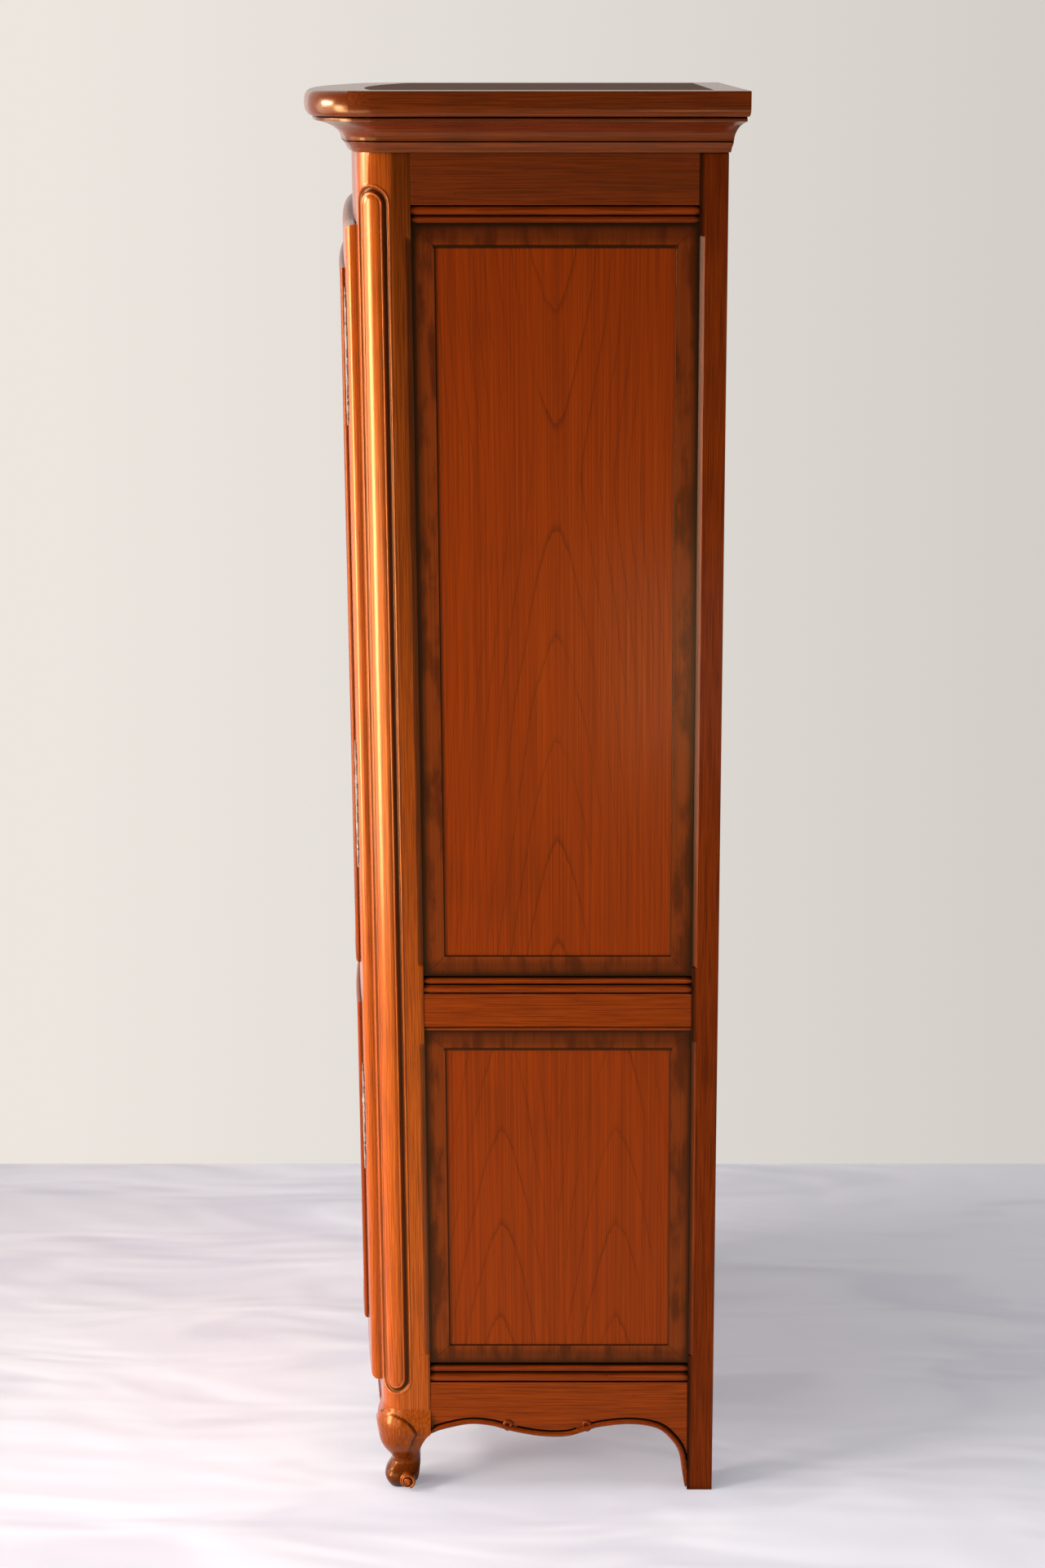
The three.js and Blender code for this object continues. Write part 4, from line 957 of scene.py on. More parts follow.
@dataclass(frozen=True)
class PhotoCamera:
    """The camera of the photograph: it faces the right side from a little over the cornice, and is tipped down."""

    lens: float = 62.38
    sensor: float = 36.0
    place: Point = (4.123, 0.098, 2.118)
    tip: float = 15.14
    middle_column: float = 722.0
    clip: tuple[float, float] = (0.05, 60.0)

    def build(self) -> None:
        """Makes the camera and gives it to the scene."""
        data = bpy.data.cameras.new("photo_camera")
        data.lens = self.lens
        data.sensor_width = self.sensor
        data.sensor_fit = "AUTO"
        data.shift_x = (PHOTO_WIDTH / 2 - self.middle_column) / PHOTO_HEIGHT
        data.clip_start, data.clip_end = self.clip
        camera = bpy.data.objects.new("photo_camera", data)
        camera.location = self.place
        camera.rotation_euler = (math.radians(90 - self.tip), 0.0, math.radians(90))
        bpy.context.scene.collection.objects.link(camera)
        bpy.context.scene.camera = camera


@dataclass(frozen=True)
class Softbox:
    """One soft studio lamp: a lit rectangle that faces a spot on the press, with or without a honeycomb grid.

    The grid's angle in degrees is the widest at which light leaves it; 180 stands for no grid.
    """

    name: str
    place: Point
    aim: Point
    size: tuple[float, float]
    radiance: float
    colour: str = "#FFFFFF"
    grid: float = 180.0

    def kept(self) -> float:
        """The share of its light that the honeycomb grid lets through; the rest is spent in its cells."""
        if self.grid >= 180:
            return 1.0
        half = math.radians(self.grid) / 2
        return (math.tan(half) - half) / math.tan(half)

    def build(self) -> None:
        """Makes the lamp."""
        data = bpy.data.lights.new(self.name, "AREA")
        data.shape = "RECTANGLE"
        data.size, data.size_y = self.size
        data.spread = math.radians(self.grid)
        data.energy = self.radiance * self.size[0] * self.size[1] * math.pi * self.kept()
        data.color = linear(self.colour)[:3]
        lamp = bpy.data.objects.new(self.name, data)
        lamp.location = self.place
        back = Vector(self.place) - Vector(self.aim)
        lamp.rotation_euler = back.to_track_quat("Z", "Y").to_euler()
        bpy.context.scene.collection.objects.link(lamp)


@dataclass(frozen=True)
class Room:
    """The photograph's pale room: a sheet on the floor up to the wall's line, and the wall's tone beyond."""

    size: float = 60.0
    wall_line: float = -0.843
    floor: str = "#E9EAF5"
    fold_shade: str = "#C4C4D6"
    wall_left: str = "#ECE6DF"
    wall_right: str = "#D2CCC7"
    wall_turn: float = 0.19
    line_softness: float = 0.004
    fill: float = 0.25
    dim: float = 0.2
    dim_turns: tuple[float, float] = (-0.1, 0.6)
    own_tone: float = 0.3
    drift_cell: tuple[float, float, float] = (1400.0, 1400.0, 1400.0)
    drift: Wash = Wash(0.35, 0.75, 0.12)
    fold_cell: tuple[float, float, float] = (150.0, 520.0, 400.0)
    fold_waver: float = 0.5
    fold_seed: float = 2.0
    fold_tone: Wash = Wash(0.52, 0.4, 0.25)
    fold_depth: float = 60.0
    fold_shown: float = 0.25
    roughness: float = 0.9
    sheen: float = 0.1

    def build(self) -> None:
        """Makes the floor and the world."""
        mesh = bpy.data.meshes.new("studio_floor")
        half = self.size / 2
        corners = [(-half, -half, 0), (half, -half, 0), (half, half, 0), (-half, half, 0)]
        mesh.from_pydata(corners, [], [(0, 1, 2, 3)])
        mesh.materials.append(self.painted_floor())
        floor = bpy.data.objects.new("studio_floor", mesh)
        bpy.context.scene.collection.objects.link(floor)
        self.room_light()

    def painted_floor(self) -> bpy.types.Material:
        """A creased cotton sheet, with a bump and painted shade along its folds; past the wall's line it lets the
        wall's tone through.
        """
        shade = Shade("cotton_sheet_creased")
        kinds = ("Is Camera Ray", "Is Glossy Ray", "Is Transmission Ray")
        rays = [shade.add("LightPath", {}, kind) for kind in kinds]
        seen = shade.add("Math", {0: rays[0], 1: rays[1]}, operation="MAXIMUM")
        seen = shade.add("Math", {0: seen, 1: rays[2]}, operation="MAXIMUM")
        depth = shade.add("SeparateXYZ", {0: shade.place}, 0)
        line = {1: self.wall_line + self.line_softness, 2: self.wall_line - self.line_softness}
        beyond = shade.add("MapRange", {0: depth, **line})
        through = shade.add("Math", {0: beyond, 1: seen}, operation="MULTIPLY")
        drift = shade.cells(self.drift_cell, 1.0, CLOUD_LAYERS["soft"])
        tone = shade.wash(self.floor, self.wall_right, drift, self.drift)
        folds = shade.cells(self.fold_cell, self.fold_seed, CLOUD_LAYERS["soft"], self.fold_waver)
        # painted shade of the folds: a grey blue wash where the fold cloud is low
        tone = shade.wash(tone, self.fold_shade, folds, self.fold_tone)
        relief = {"Height": folds, "Distance": self.fold_depth * MM, "Strength": self.fold_shown}
        creased = shade.add("Bump", relief)
        own = shade.add("Math", {0: seen, 1: self.own_tone}, operation="MULTIPLY")
        painted = {
            "Base Color": tone,
            "Roughness": self.roughness,
            "Specular IOR Level": self.sheen,
            "Emission Color": tone,
            "Emission Strength": own,
            "Normal": creased,
        }
        surface = shade.add("BsdfPrincipled", painted)
        clear = shade.add("BsdfTransparent", {})
        ground = shade.add("MixShader", {0: through, 1: surface, 2: clear})
        shade.add("OutputMaterial", {"Surface": ground})
        return shade.material

    def room_light(self) -> None:
        """The wall's tone as seen, and an even fill; the room behind the camera is dimmer in reflections."""
        world = bpy.data.worlds.new("pale_room")
        world.use_nodes = True
        tree = world.node_tree
        tree.nodes.clear()
        way = add_node(tree, "TexCoord", {}, "Generated")
        towards, side = (add_node(tree, "SeparateXYZ", {0: way}, i) for i in (0, 1))
        share = add_node(tree, "MapRange", {0: side, 1: -self.wall_turn, 2: self.wall_turn})
        wall = add_node(tree, "Mix", {0: share, 6: self.wall_left, 7: self.wall_right}, 2, data_type="RGBA")
        rays = [add_node(tree, "LightPath", {}, kind) for kind in ("Is Camera Ray", "Is Transmission Ray")]
        seen = add_node(tree, "Math", {0: rays[0], 1: rays[1]}, operation="MAXIMUM")
        start, full = self.dim_turns
        mirrored = add_node(tree, "MapRange", {0: towards, 1: start, 2: full, 3: 1.0, 4: self.dim})
        glossy = add_node(tree, "LightPath", {}, "Is Glossy Ray")
        mirrored = add_node(tree, "Math", {0: mirrored, 1: glossy}, operation="MULTIPLY")
        strength = add_node(tree, "Math", {0: seen, 1: mirrored}, operation="MAXIMUM")
        strength = add_node(tree, "Math", {0: strength, 1: self.fill}, operation="MAXIMUM")
        light = add_node(tree, "Background", {"Color": wall, "Strength": strength})
        add_node(tree, "OutputWorld", {"Surface": light})
        bpy.context.scene.world = world


@dataclass(frozen=True)
class Studio:
    """The camera, the lamps and the room."""

    lamps: tuple[Softbox, ...] = (
        Softbox("front_window", (0.4, -3.2, 1.0), (0.4, -0.25, 1.0), (2.9, 2.0), 4.4, "#FFF2E2", 100.0),
        Softbox("front_strip", (1.7, -2.9, 0.9), (0.4, -0.25, 0.9), (0.8, 1.9), 33.0, "#FFF6EA", 90.0),
        Softbox("window_head", (0.5, -3.1, 2.2), (0.4, -0.25, 1.6), (1.1, 0.5), 72.0, "#FFFAF2", 72.0),
        Softbox("side_key", (2.7, -1.7, 0.6), (0.4, 0.0, 0.7), (1.8, 1.2), 3.5, "#FFFAF4"),
        Softbox("overhead", (0.6, 0.0, 4.6), (0.2, 0.0, 0.0), (2.6, 2.6), 1.45),
        Softbox("low_sheen", (4.6, 0.42, 0.35), (0.4, 0.25, 1.25), (0.45, 0.6), 4.0),
    )

    def build(self) -> None:
        """Makes the studio."""
        PhotoCamera().build()
        Room().build()
        for lamp in self.lamps:
            lamp.build()
        bpy.context.scene.view_settings.view_transform = "Standard"


# Front posts


@dataclass(frozen=True)
class PostOutline:
    """The moulded outline on a front post: a cove between two fine beads, round a tall round-ended field."""

    peak_drop: float = 48.0
    foot_height: float = 165.0
    middle: float = 34.0
    half_width: float = 20.5
    cove: float = 3.8
    depth: float = 2.8
    bead: float = 1.4
    bead_rise: float = 0.8
    swell: float = 1.2
    # painted shade: the cove darkest at its bottom, a dark band just outside the outline, and one just inside the
    # inner bead
    cove_dark: float = 0.75
    lip_dark: float = 0.35
    lip_fade: float = 2.0
    dome_dark: float = 0.4
    dome_run: float = 6.0
    cove_turns: Sequence[int] = range(-90, 91, 15)
    bead_turns: Sequence[int] = range(0, 181, 22)

    @property
    def ends(self) -> tuple[float, float]:
        """Heights of the centres of its round ends."""
        return self.foot_height + self.half_width, PLAN.cornice_foot - self.peak_drop - self.half_width

    @property
    def edge(self) -> float:
        """How far the moulding reaches to each side of the cove's line."""
        return self.cove + 2 * self.bead

    def off_line(self, distance: float, height: float) -> float:
        """How far a point lies outside the line that the cove follows; less than 0 within the field."""
        low, high = self.ends
        past = max(low - height, height - high, 0.0)
        return math.hypot(distance - self.middle, past) - self.half_width

    def rise(self, off: float) -> tuple[float, float]:
        """Height of the moulding and its darkness at a distance from the cove's line.

        Args:
            off: Distance outside the line, in mm.

        Returns:
            The height over the post's face in mm, and the painted shade.
        """
        # painted shade in the cove and beside the beads
        reach = abs(off)
        if reach < self.cove:
            share = reach / self.cove
            return -self.depth * math.sqrt(max(1 - share * share, 0.0)), self.cove_dark * (1 - share**3)
        bead_middle = self.cove + self.bead
        share = abs(reach - bead_middle) / self.bead
        if share < 1:
            return self.bead_rise * math.sqrt(1 - share * share), 0.0
        past = reach - self.edge
        if off > 0:
            return 0.0, self.lip_dark * max(1 - past / self.lip_fade, 0.0)
        dome = min(past / self.dome_run, 1.0)
        return self.swell * math.sin(dome * math.pi / 2), self.dome_dark * max(1 - dome * 3, 0.0)

    def columns(self) -> list[float]:
        """Distances round the corner at which the straight stretch needs a column."""
        found = []
        for line in (self.middle - self.half_width, self.middle + self.half_width):
            steps = [self.cove * math.sin(math.radians(turn)) for turn in self.cove_turns]
            steps += [self.cove + self.bead * (1 - math.cos(math.radians(turn))) for turn in self.bead_turns]
            steps += [-step for step in steps if step > self.cove]
            found += [line + step for step in steps]
        return found


@dataclass(frozen=True)
class ScrollFoot:
    """The carved foot under a front post: knee, ankle, and scrolls on its two outer faces."""

    height: float = 135.0
    spread: float = 63.0
    roundness: float = 2.7
    scroll_in: float = 37.0
    scroll_height: float = 17.0
    scroll_radius: float = 11.5
    # the button's rings: share of the radius, height out of the face, and painted shade, darkest where it meets the
    # face and in its groove
    button: tuple[tuple[float, float, float], ...] = (
        (1.0, -16.0, 0.48),
        (1.0, 2.2, 0.4),
        (0.93, 3.4, 0.08),
        (0.8, 3.6, 0.56),
        (0.68, 2.4, 0.72),
        (0.52, 2.6, 0.64),
        (0.46, 4.6, 0.16),
        (0.34, 5.6, 0.0),
        (0.16, 6.0, 0.0),
        (0.03, 6.0, 0.0),
    )
    winding: tuple[float, float] = (-70.0, 330.0)
    winding_reach: tuple[float, float] = (1.0, 0.36)
    winding_radii: tuple[float, float] = (2.4, 1.5)
    winding_out: float = 3.4
    winding_rise: float = 1.6
    winding_steps: int = 46
    winding_sides: int = 8
    # painted shade on the winding's sunken half
    winding_dark: float = 0.6
    button_turn: int = 12
    toes: tuple[tuple[float, float, float], ...] = ((8.2, 11.5, 24.0), (5.0, 17.5, 35.0))
    sole_dark: float = 0.74
    dark_fall: float = 0.48
    lowest_ring: float = 0.02
    knee: tuple[tuple[float, float], ...] = (
        (46.0, 28.0),
        (60.0, 38.0),
        (78.0, 43.0),
        (92.0, 44.0),
        (100.0, 43.0),
        (108.0, 39.0),
        (115.0, 32.0),
        (121.0, 23.0),
        (126.0, 9.0),
    )
    knee_rise: float = 3.0
    knee_rim: float = 3.0
    knee_fade: float = 30.0
    # painted shade: a dark line just outside the knee's lobe
    knee_line: float = 3.5
    line_dark: float = 0.75
    band: tuple[tuple[float, float, float], ...] = (
        (-3.0, -180.5, 90.0),
        (-3.5, -186.0, 80.0),
        (-6.0, -190.0, 68.0),
        (-9.5, -192.0, 56.0),
        (-11.5, -192.0, 46.0),
        (-8.5, -190.5, 36.0),
        (-4.0, -190.5, 27.0),
        (-3.0, -195.5, 18.0),
        (-3.5, -204.0, 11.0),
        (-4.0, -214.0, 8.0),
    )
    band_radii: tuple[float, ...] = (2.2, 3.4, 3.0, 1.8)
    band_swell: int = 10
    band_taper: int = 7
    band_steps: int = 5
    # painted shade on the band's sunken half
    band_dark: float = 0.8
    row_steps: int = 7
    rows: tuple[tuple[float, float, float, float], ...] = (
        (0.0, -0.143, 0.473, 0.0),
        (0.044, -0.079, 0.608, 0.0),
        (0.09, -0.034, 0.716, 0.0),
        (0.14, -0.024, 0.757, 0.0),
        (0.19, -0.06, 0.74, 0.0),
        (0.24, -0.13, 0.685, 0.05),
        (0.29, -0.185, 0.64, 0.1),
        (0.335, -0.175, 0.645, 0.2),
        (0.385, -0.125, 0.69, 0.3),
        (0.44, -0.055, 0.75, 0.4),
        (0.5, 0.01, 0.82, 0.5),
        (0.575, 0.06, 0.9, 0.7),
        (0.667, 0.09, 1.0, 0.9),
        (0.719, 0.11, 1.093, 1.0),
        (0.77, 0.112, 1.098, 1.0),
        (0.83, 0.09, 1.077, 1.0),
        (0.911, 0.045, 1.04, 1.0),
        (1.0, 0.0, 1.0, 1.0),
    )

    def ring(self, section: np.ndarray, row: Sequence[float]) -> np.ndarray:
        """One ring of the foot, from the post's own section.

        Args:
            section: The section of the post, in plan.
            row: Height, reach, size and how square the ring is, as shares.

        Returns:
            The ring's points.
        """
        reach = row[1] * self.spread
        deep = row[2] * PLAN.post_depth
        wide = min(deep, PLAN.post_width + reach)
        side, front = PLAN.half_width + reach, -PLAN.half_depth - reach
        own_x = (section[:, 0] - PLAN.doorway) / PLAN.post_width
        own_y = (section[:, 1] - PLAN.post_back) / PLAN.post_depth
        square = np.column_stack([side - wide + own_x * wide, front + deep + own_y * deep])
        turn = np.arctan2(own_y * 2 + 1, own_x * 2 - 1)
        power = self.roundness
        length = (np.abs(np.cos(turn)) ** power + np.abs(np.sin(turn)) ** power) ** (1 / power)
        round_x = side - wide / 2 + np.cos(turn) / length * wide / 2
        round_y = front + deep / 2 + np.sin(turn) / length * deep / 2
        spots = np.column_stack([round_x, round_y]) * (1 - row[3]) + square * row[3]
        return np.column_stack([spots, np.full(len(spots), row[0] * self.height)])

    def knee_share(self, off: float, height: float) -> float:
        """How much of the knee's carved lobe stands at a place.

        Args:
            off: Distance round the post from the middle of its corner, in mm.
            height: Height over the floor, in mm.

        Returns:
            A share from 0, off the lobe, to 1, on it.
        """
        heights = [z for z, _ in self.knee]
        if not heights[0] < height < heights[-1]:
            return 0.0
        edge = float(np.interp(height, heights, [reach for _, reach in self.knee]))
        share = min(max((edge - abs(off)) / self.knee_rim, 0.0), 1.0)
        fade = min((height - heights[0]) / self.knee_fade, 1.0)
        return math.sin(share * math.pi / 2) * fade

    def rings(self, section: np.ndarray, distances: Sequence[float]) -> tuple[list[np.ndarray], list[list[float]]]:
        """The rings of the foot, from the floor to its head, and how dark their points are.

        Args:
            section: The section of the post, in plan.
            distances: How far round the corner the section's outer points lie.

        Returns:
            The rings and how dark their points are: darker towards the floor, with painted shade just outside the
                knee's lobe.
        """
        middle = PLAN.corner_length / 2
        normals = [PLAN.outer_station(distance)[1] for distance in distances]
        rows = smooth_through(self.rows, self.row_steps)
        rows[:, 3] = np.clip(rows[:, 3], 0, 1)
        rings, tones = [], []
        for row in rows:
            if 0.0 < row[0] < self.lowest_ring:
                continue
            ring = self.ring(section, row)
            height = row[0] * self.height
            tone = [self.sole_dark - self.dark_fall * row[0]] * len(ring)
            for i, (distance, normal) in enumerate(zip(distances, normals)):
                share = self.knee_share(distance - middle, height)
                ring[i, :2] += normal * share * self.knee_rise
                beside = self.knee_share(abs(distance - middle) - self.knee_line, height)
                tone[i] = max(tone[i], self.line_dark * (beside - share))
            rings.append(ring)
            tones.append(tone)
        return rings, tones

    def add_bands(self, piece: Piece) -> None:
        """Adds the carved band down the back edge of each outer face, from the apron's bead to the scroll."""
        path = smooth_through(self.band, self.band_steps)
        path[:, 0] += PLAN.half_width
        last = len(path) - 1
        radii = np.interp(range(len(path)), [0, self.band_swell, last - self.band_taper, last], self.band_radii)
        piece.add_bar(path, radii, SIDEWAYS, darkness=self.band_dark)
        corner = np.array([PLAN.half_width, -PLAN.half_depth])
        turned = path.copy()
        turned[:, 0] = corner[0] - (path[:, 1] - corner[1]) * PLAN.post_width / PLAN.post_depth
        turned[:, 1] = corner[1] - (path[:, 0] - corner[0])
        piece.add_bar(turned, radii, FORWARDS, darkness=self.band_dark)

    def add_scrolls(self, piece: Piece) -> None:
        """Adds the turned scrolls of the two outer faces, and the balled toe between them."""
        for on_front in (False, True):
            self.add_scroll(piece, on_front)
        for radius, inset, height in self.toes:
            piece.add_ball(np.array([PLAN.half_width - inset, inset - PLAN.half_depth, height]), radius)

    def add_scroll(self, piece: Piece, on_front: bool) -> None:
        """Adds one scroll: a domed button under a band that winds in on it.

        Args:
            piece: The post that takes it.
            on_front: Whether it stands on the front face; otherwise it stands on the side.
        """

        def set_out(along: float, up: float, out: float) -> list[float]:
            if on_front:
                return [PLAN.half_width - self.scroll_in + along, -PLAN.half_depth - out, self.scroll_height + up]
            return [PLAN.half_width + out, self.scroll_in - PLAN.half_depth - along, self.scroll_height + up]

        def on_circle(share: float, turn: float, out: float) -> list[float]:
            radius = share * self.scroll_radius
            return set_out(radius * math.cos(turn), radius * math.sin(turn), out)

        turns = np.radians(np.arange(0, 360, self.button_turn))
        rings = [np.array([on_circle(share, turn, out) for turn in turns]) for share, out, _ in self.button]
        piece.add_loft(rings, patina_and_shade=[[tone] * len(turns) for _, _, tone in self.button])
        sweep = math.pi - np.radians(np.linspace(*self.winding, self.winding_steps))
        path = [
            on_circle(share, turn, self.winding_out + self.winding_rise * (1 - share))
            for turn, share in zip(sweep, np.linspace(*self.winding_reach, self.winding_steps))
        ]
        radii = np.linspace(*self.winding_radii, self.winding_steps)
        outward = FORWARDS if on_front else SIDEWAYS
        piece.add_bar(np.array(path), radii, outward, self.winding_sides, self.winding_dark)


@dataclass(frozen=True)
class FrontPost:
    """A rounded corner post with its moulded outline, its stopped chamfers and its scroll foot."""

    outline: PostOutline = PostOutline()
    foot: ScrollFoot = ScrollFoot()
    chamfer_width: float = 7.0
    chamfer_depth: float = 5.0
    chamfer_run: float = 12.0
    chamfer_spans: tuple[tuple[float, float], ...] = ((224.0, 725.0), (839.0, 1876.0))
    column_step: float = 1.1
    column_gap: float = 0.12
    row_step: float = 0.9
    back_inset: float = 6.0
    back_dark: float = 0.55
    crisp: float = 50.0
    first_column: float = 0.8
    chamfer_column: float = 0.4
    chamfer_rows: int = 7
    back_fade: float = 2.5
    hidden_dark: float = 0.2
    # painted shade: past this distance round the corner the post's flat is darker, and more so towards the top
    shade_from: float = 59.0
    shade_fade: float = 6.0
    shade_foot: float = 0.08
    shade_rise: float = 0.6
    mortise_x: tuple[float, float] = (350.0, 369.0)
    mortise_y: tuple[float, float] = (-237.01, -229.01)
    mortise_z: tuple[float, float] = (1050.0, 1068.0)

    def distances(self) -> list[float]:
        """Columns of the outer faces, as distances round the corner."""
        turn = PLAN.bow_turn - math.asin(PLAN.doorway / PLAN.bow_radius)
        start = -turn * PLAN.bow_radius
        end = PLAN.corner_length + PLAN.post_back - PLAN.corner_centre[1]
        arris = end - self.chamfer_width
        found = [start, start + self.first_column, arris, arris + self.chamfer_column, end]
        found += list(np.arange(math.ceil(start) + 1, end - self.chamfer_width, self.column_step))
        found += self.outline.columns()
        kept: list[float] = []
        for value in sorted(v for v in found if start <= v <= end):
            if not kept or value - kept[-1] > self.column_gap or value == end:
                kept.append(value)
        return kept

    def heights(self) -> list[float]:
        """Rows of the post over its foot."""
        low, high = self.outline.ends
        edge = self.outline.half_width + self.outline.edge
        found = list(np.arange(low - edge - 1, low + 1, self.row_step))
        found += list(np.arange(high - 1, high + edge + 1, self.row_step))
        found += [PLAN.cornice_foot - PLAN.seat, PLAN.cornice_foot - 2, self.foot.height + 2]
        for bottom, top in self.chamfer_spans:
            for place in np.linspace(0, self.chamfer_run, self.chamfer_rows):
                found += [bottom + place, top - place]
        return sorted(set(round(v, 2) for v in found if v > self.foot.height + 1))

    def chamfer(self, distance: float, height: float, end: float) -> float:
        """How deep the stopped chamfer is cut at a place on the side face."""
        across = (distance - (end - self.chamfer_width)) / self.chamfer_width
        if across <= 0:
            return 0.0
        for bottom, top in self.chamfer_spans:
            if bottom < height < top:
                run = min(height - bottom, top - height, self.chamfer_run) / self.chamfer_run
                return self.chamfer_depth * across * math.sin(run * math.pi / 2)
        return 0.0

    def row(self, distances: Sequence[float], height: float) -> tuple[np.ndarray, list[float]]:
        """One ring of the post at a height, and its patina."""
        end = distances[-1]
        spots, tones = [], []
        for distance in distances:
            point, normal = PLAN.outer_station(distance)
            rise, tone = self.outline.rise(self.outline.off_line(distance, height))
            rise -= self.chamfer(distance, height, end)
            near_back = max(1 - (end - distance) / self.back_fade, 0.0)
            # painted shade on the flat past the corner, growing towards the top
            shaded_flat = min(max((distance - self.shade_from) / self.shade_fade, 0.0), 1.0)
            shaded_flat *= self.shade_foot + self.shade_rise * height / PLAN.height
            spots.append([*(point + normal * rise), height])
            tones.append(max(tone, self.back_dark * near_back, shaded_flat))
        for x in (PLAN.half_width - self.back_inset, PLAN.doorway):
            spots.append([x, PLAN.post_back, height])
            tones.append(self.hidden_dark)
        return np.array(spots), tones

    def mortise(self) -> Piece:
        """The cutter of the bolt's mortise in the right post."""
        (left, right), (front, back) = self.mortise_x, self.mortise_y
        plan = [(left, front), (right, front), (right, back), (left, back)]
        rings = [np.array([[x, y, z] for x, y in plan]) for z in self.mortise_z]
        return Piece("mortise_cutter").add_loft(rings)

    def build(self, material: bpy.types.Material) -> None:
        """Makes both front posts."""
        piece = Piece("front_post_right_carved")
        distances = self.distances()
        plain, _ = self.row(distances, self.foot.height + 1)
        rows, tones = self.foot.rings(plain[:, :2], distances)
        for height in self.heights():
            ring, tone = self.row(distances, height)
            rows.append(ring)
            tones.append(tone)
        piece.add_loft(rows, patina_and_shade=tones)
        self.foot.add_scrolls(piece)
        self.foot.add_bands(piece)
        cut_away(piece.place_both(material, "front_post_right", sharp=self.crisp), self.mortise())


# Cornice, side mouldings and aprons

PANEL_FACE = 403.3  # where the side's mouldings and rails start, just off the panel's face
RAIL_BACK = 386.0


@dataclass(frozen=True)
class CorniceProfile:
    """The cornice's moulding, from its foot up, as shares of its reach and height."""

    inside: float = 20.0
    # painted shade: on the inner faces, in the quirk, at the foot of the cove and under the step
    inside_dark: tuple[float, float] = (0.3, 0.1)
    joint: float = math.radians(22)
    toe: tuple[tuple[float, float], ...] = ((0.075, 0.0), (0.105, 0.03), (0.13, 0.075), (0.175, 0.12), (0.215, 0.158))
    quirk: tuple[tuple[float, float, float], ...] = ((0.217, 0.166, 0.55), (0.2, 0.175, 1.0), (0.222, 0.192, 0.5))
    cove: tuple[tuple[float, float], ...] = (
        (0.225, 0.2),
        (0.245, 0.255),
        (0.29, 0.31),
        (0.36, 0.36),
        (0.46, 0.415),
        (0.6, 0.465),
        (0.74, 0.498),
        (0.83, 0.5125),
    )
    cove_dark: float = 0.35
    cove_foot: float = 0.2
    cove_fade: float = 0.05
    step: tuple[tuple[float, float, float], ...] = (
        (0.835, 0.53, 0.0),
        (0.835, 0.56, 0.0),
        (0.82, 0.572, 0.7),
        (0.81, 0.583, 1.0),
    )
    fascia: tuple[tuple[float, float], ...] = (
        (0.93, 0.597),
        (0.968, 0.627),
        (0.99, 0.67),
        (1.0, 0.73),
        (1.0, 0.85),
        (1.0, 0.975),
        (0.99, 1.0),
    )
    nose: tuple[tuple[float, float], ...] = (
        (0.92, 0.59),
        (0.962, 0.63),
        (0.99, 0.69),
        (1.0, 0.77),
        (0.994, 0.85),
        (0.972, 0.92),
        (0.93, 0.97),
        (0.87, 0.995),
        (0.82, 1.0),
    )

    def outer(self, nose: bool) -> list[tuple[float, float, float]]:
        """The outer points: reach, height and painted shade, the reach and height as shares."""
        rows = [(a, b, 0.0) for a, b in smooth_through(self.toe)]
        rows += self.quirk
        for a, b in smooth_through(self.cove):
            rows.append((a, b, self.cove_dark * max(1 - (b - self.cove_foot) / self.cove_fade, 0)))
        rows += self.step
        upper = smooth_through(self.nose if nose else self.fascia)
        rows += [(min(a, 1.0), min(b, 1.0), 0.0) for a, b in upper]
        return rows

    def ring(self, station: tuple[np.ndarray, np.ndarray], nose: bool) -> tuple[np.ndarray, list[float]]:
        """The moulding's section at one place of the plan.

        Args:
            station: The place and its outward direction.
            nose: Whether the top member is a round nose; otherwise it is flat.

        Returns:
            The section's points and their patina.
        """
        point, normal = station
        inside = -self.inside / PLAN.cornice_reach
        rows = [(inside, 0.0, self.inside_dark[0]), *self.outer(nose), (inside, 1.0, self.inside_dark[1])]
        spots = [
            [*(point + normal * out * PLAN.cornice_reach), PLAN.cornice_foot + up * PLAN.cornice_height]
            for out, up, _ in rows
        ]
        return np.array(spots), [tone for _, _, tone in rows]


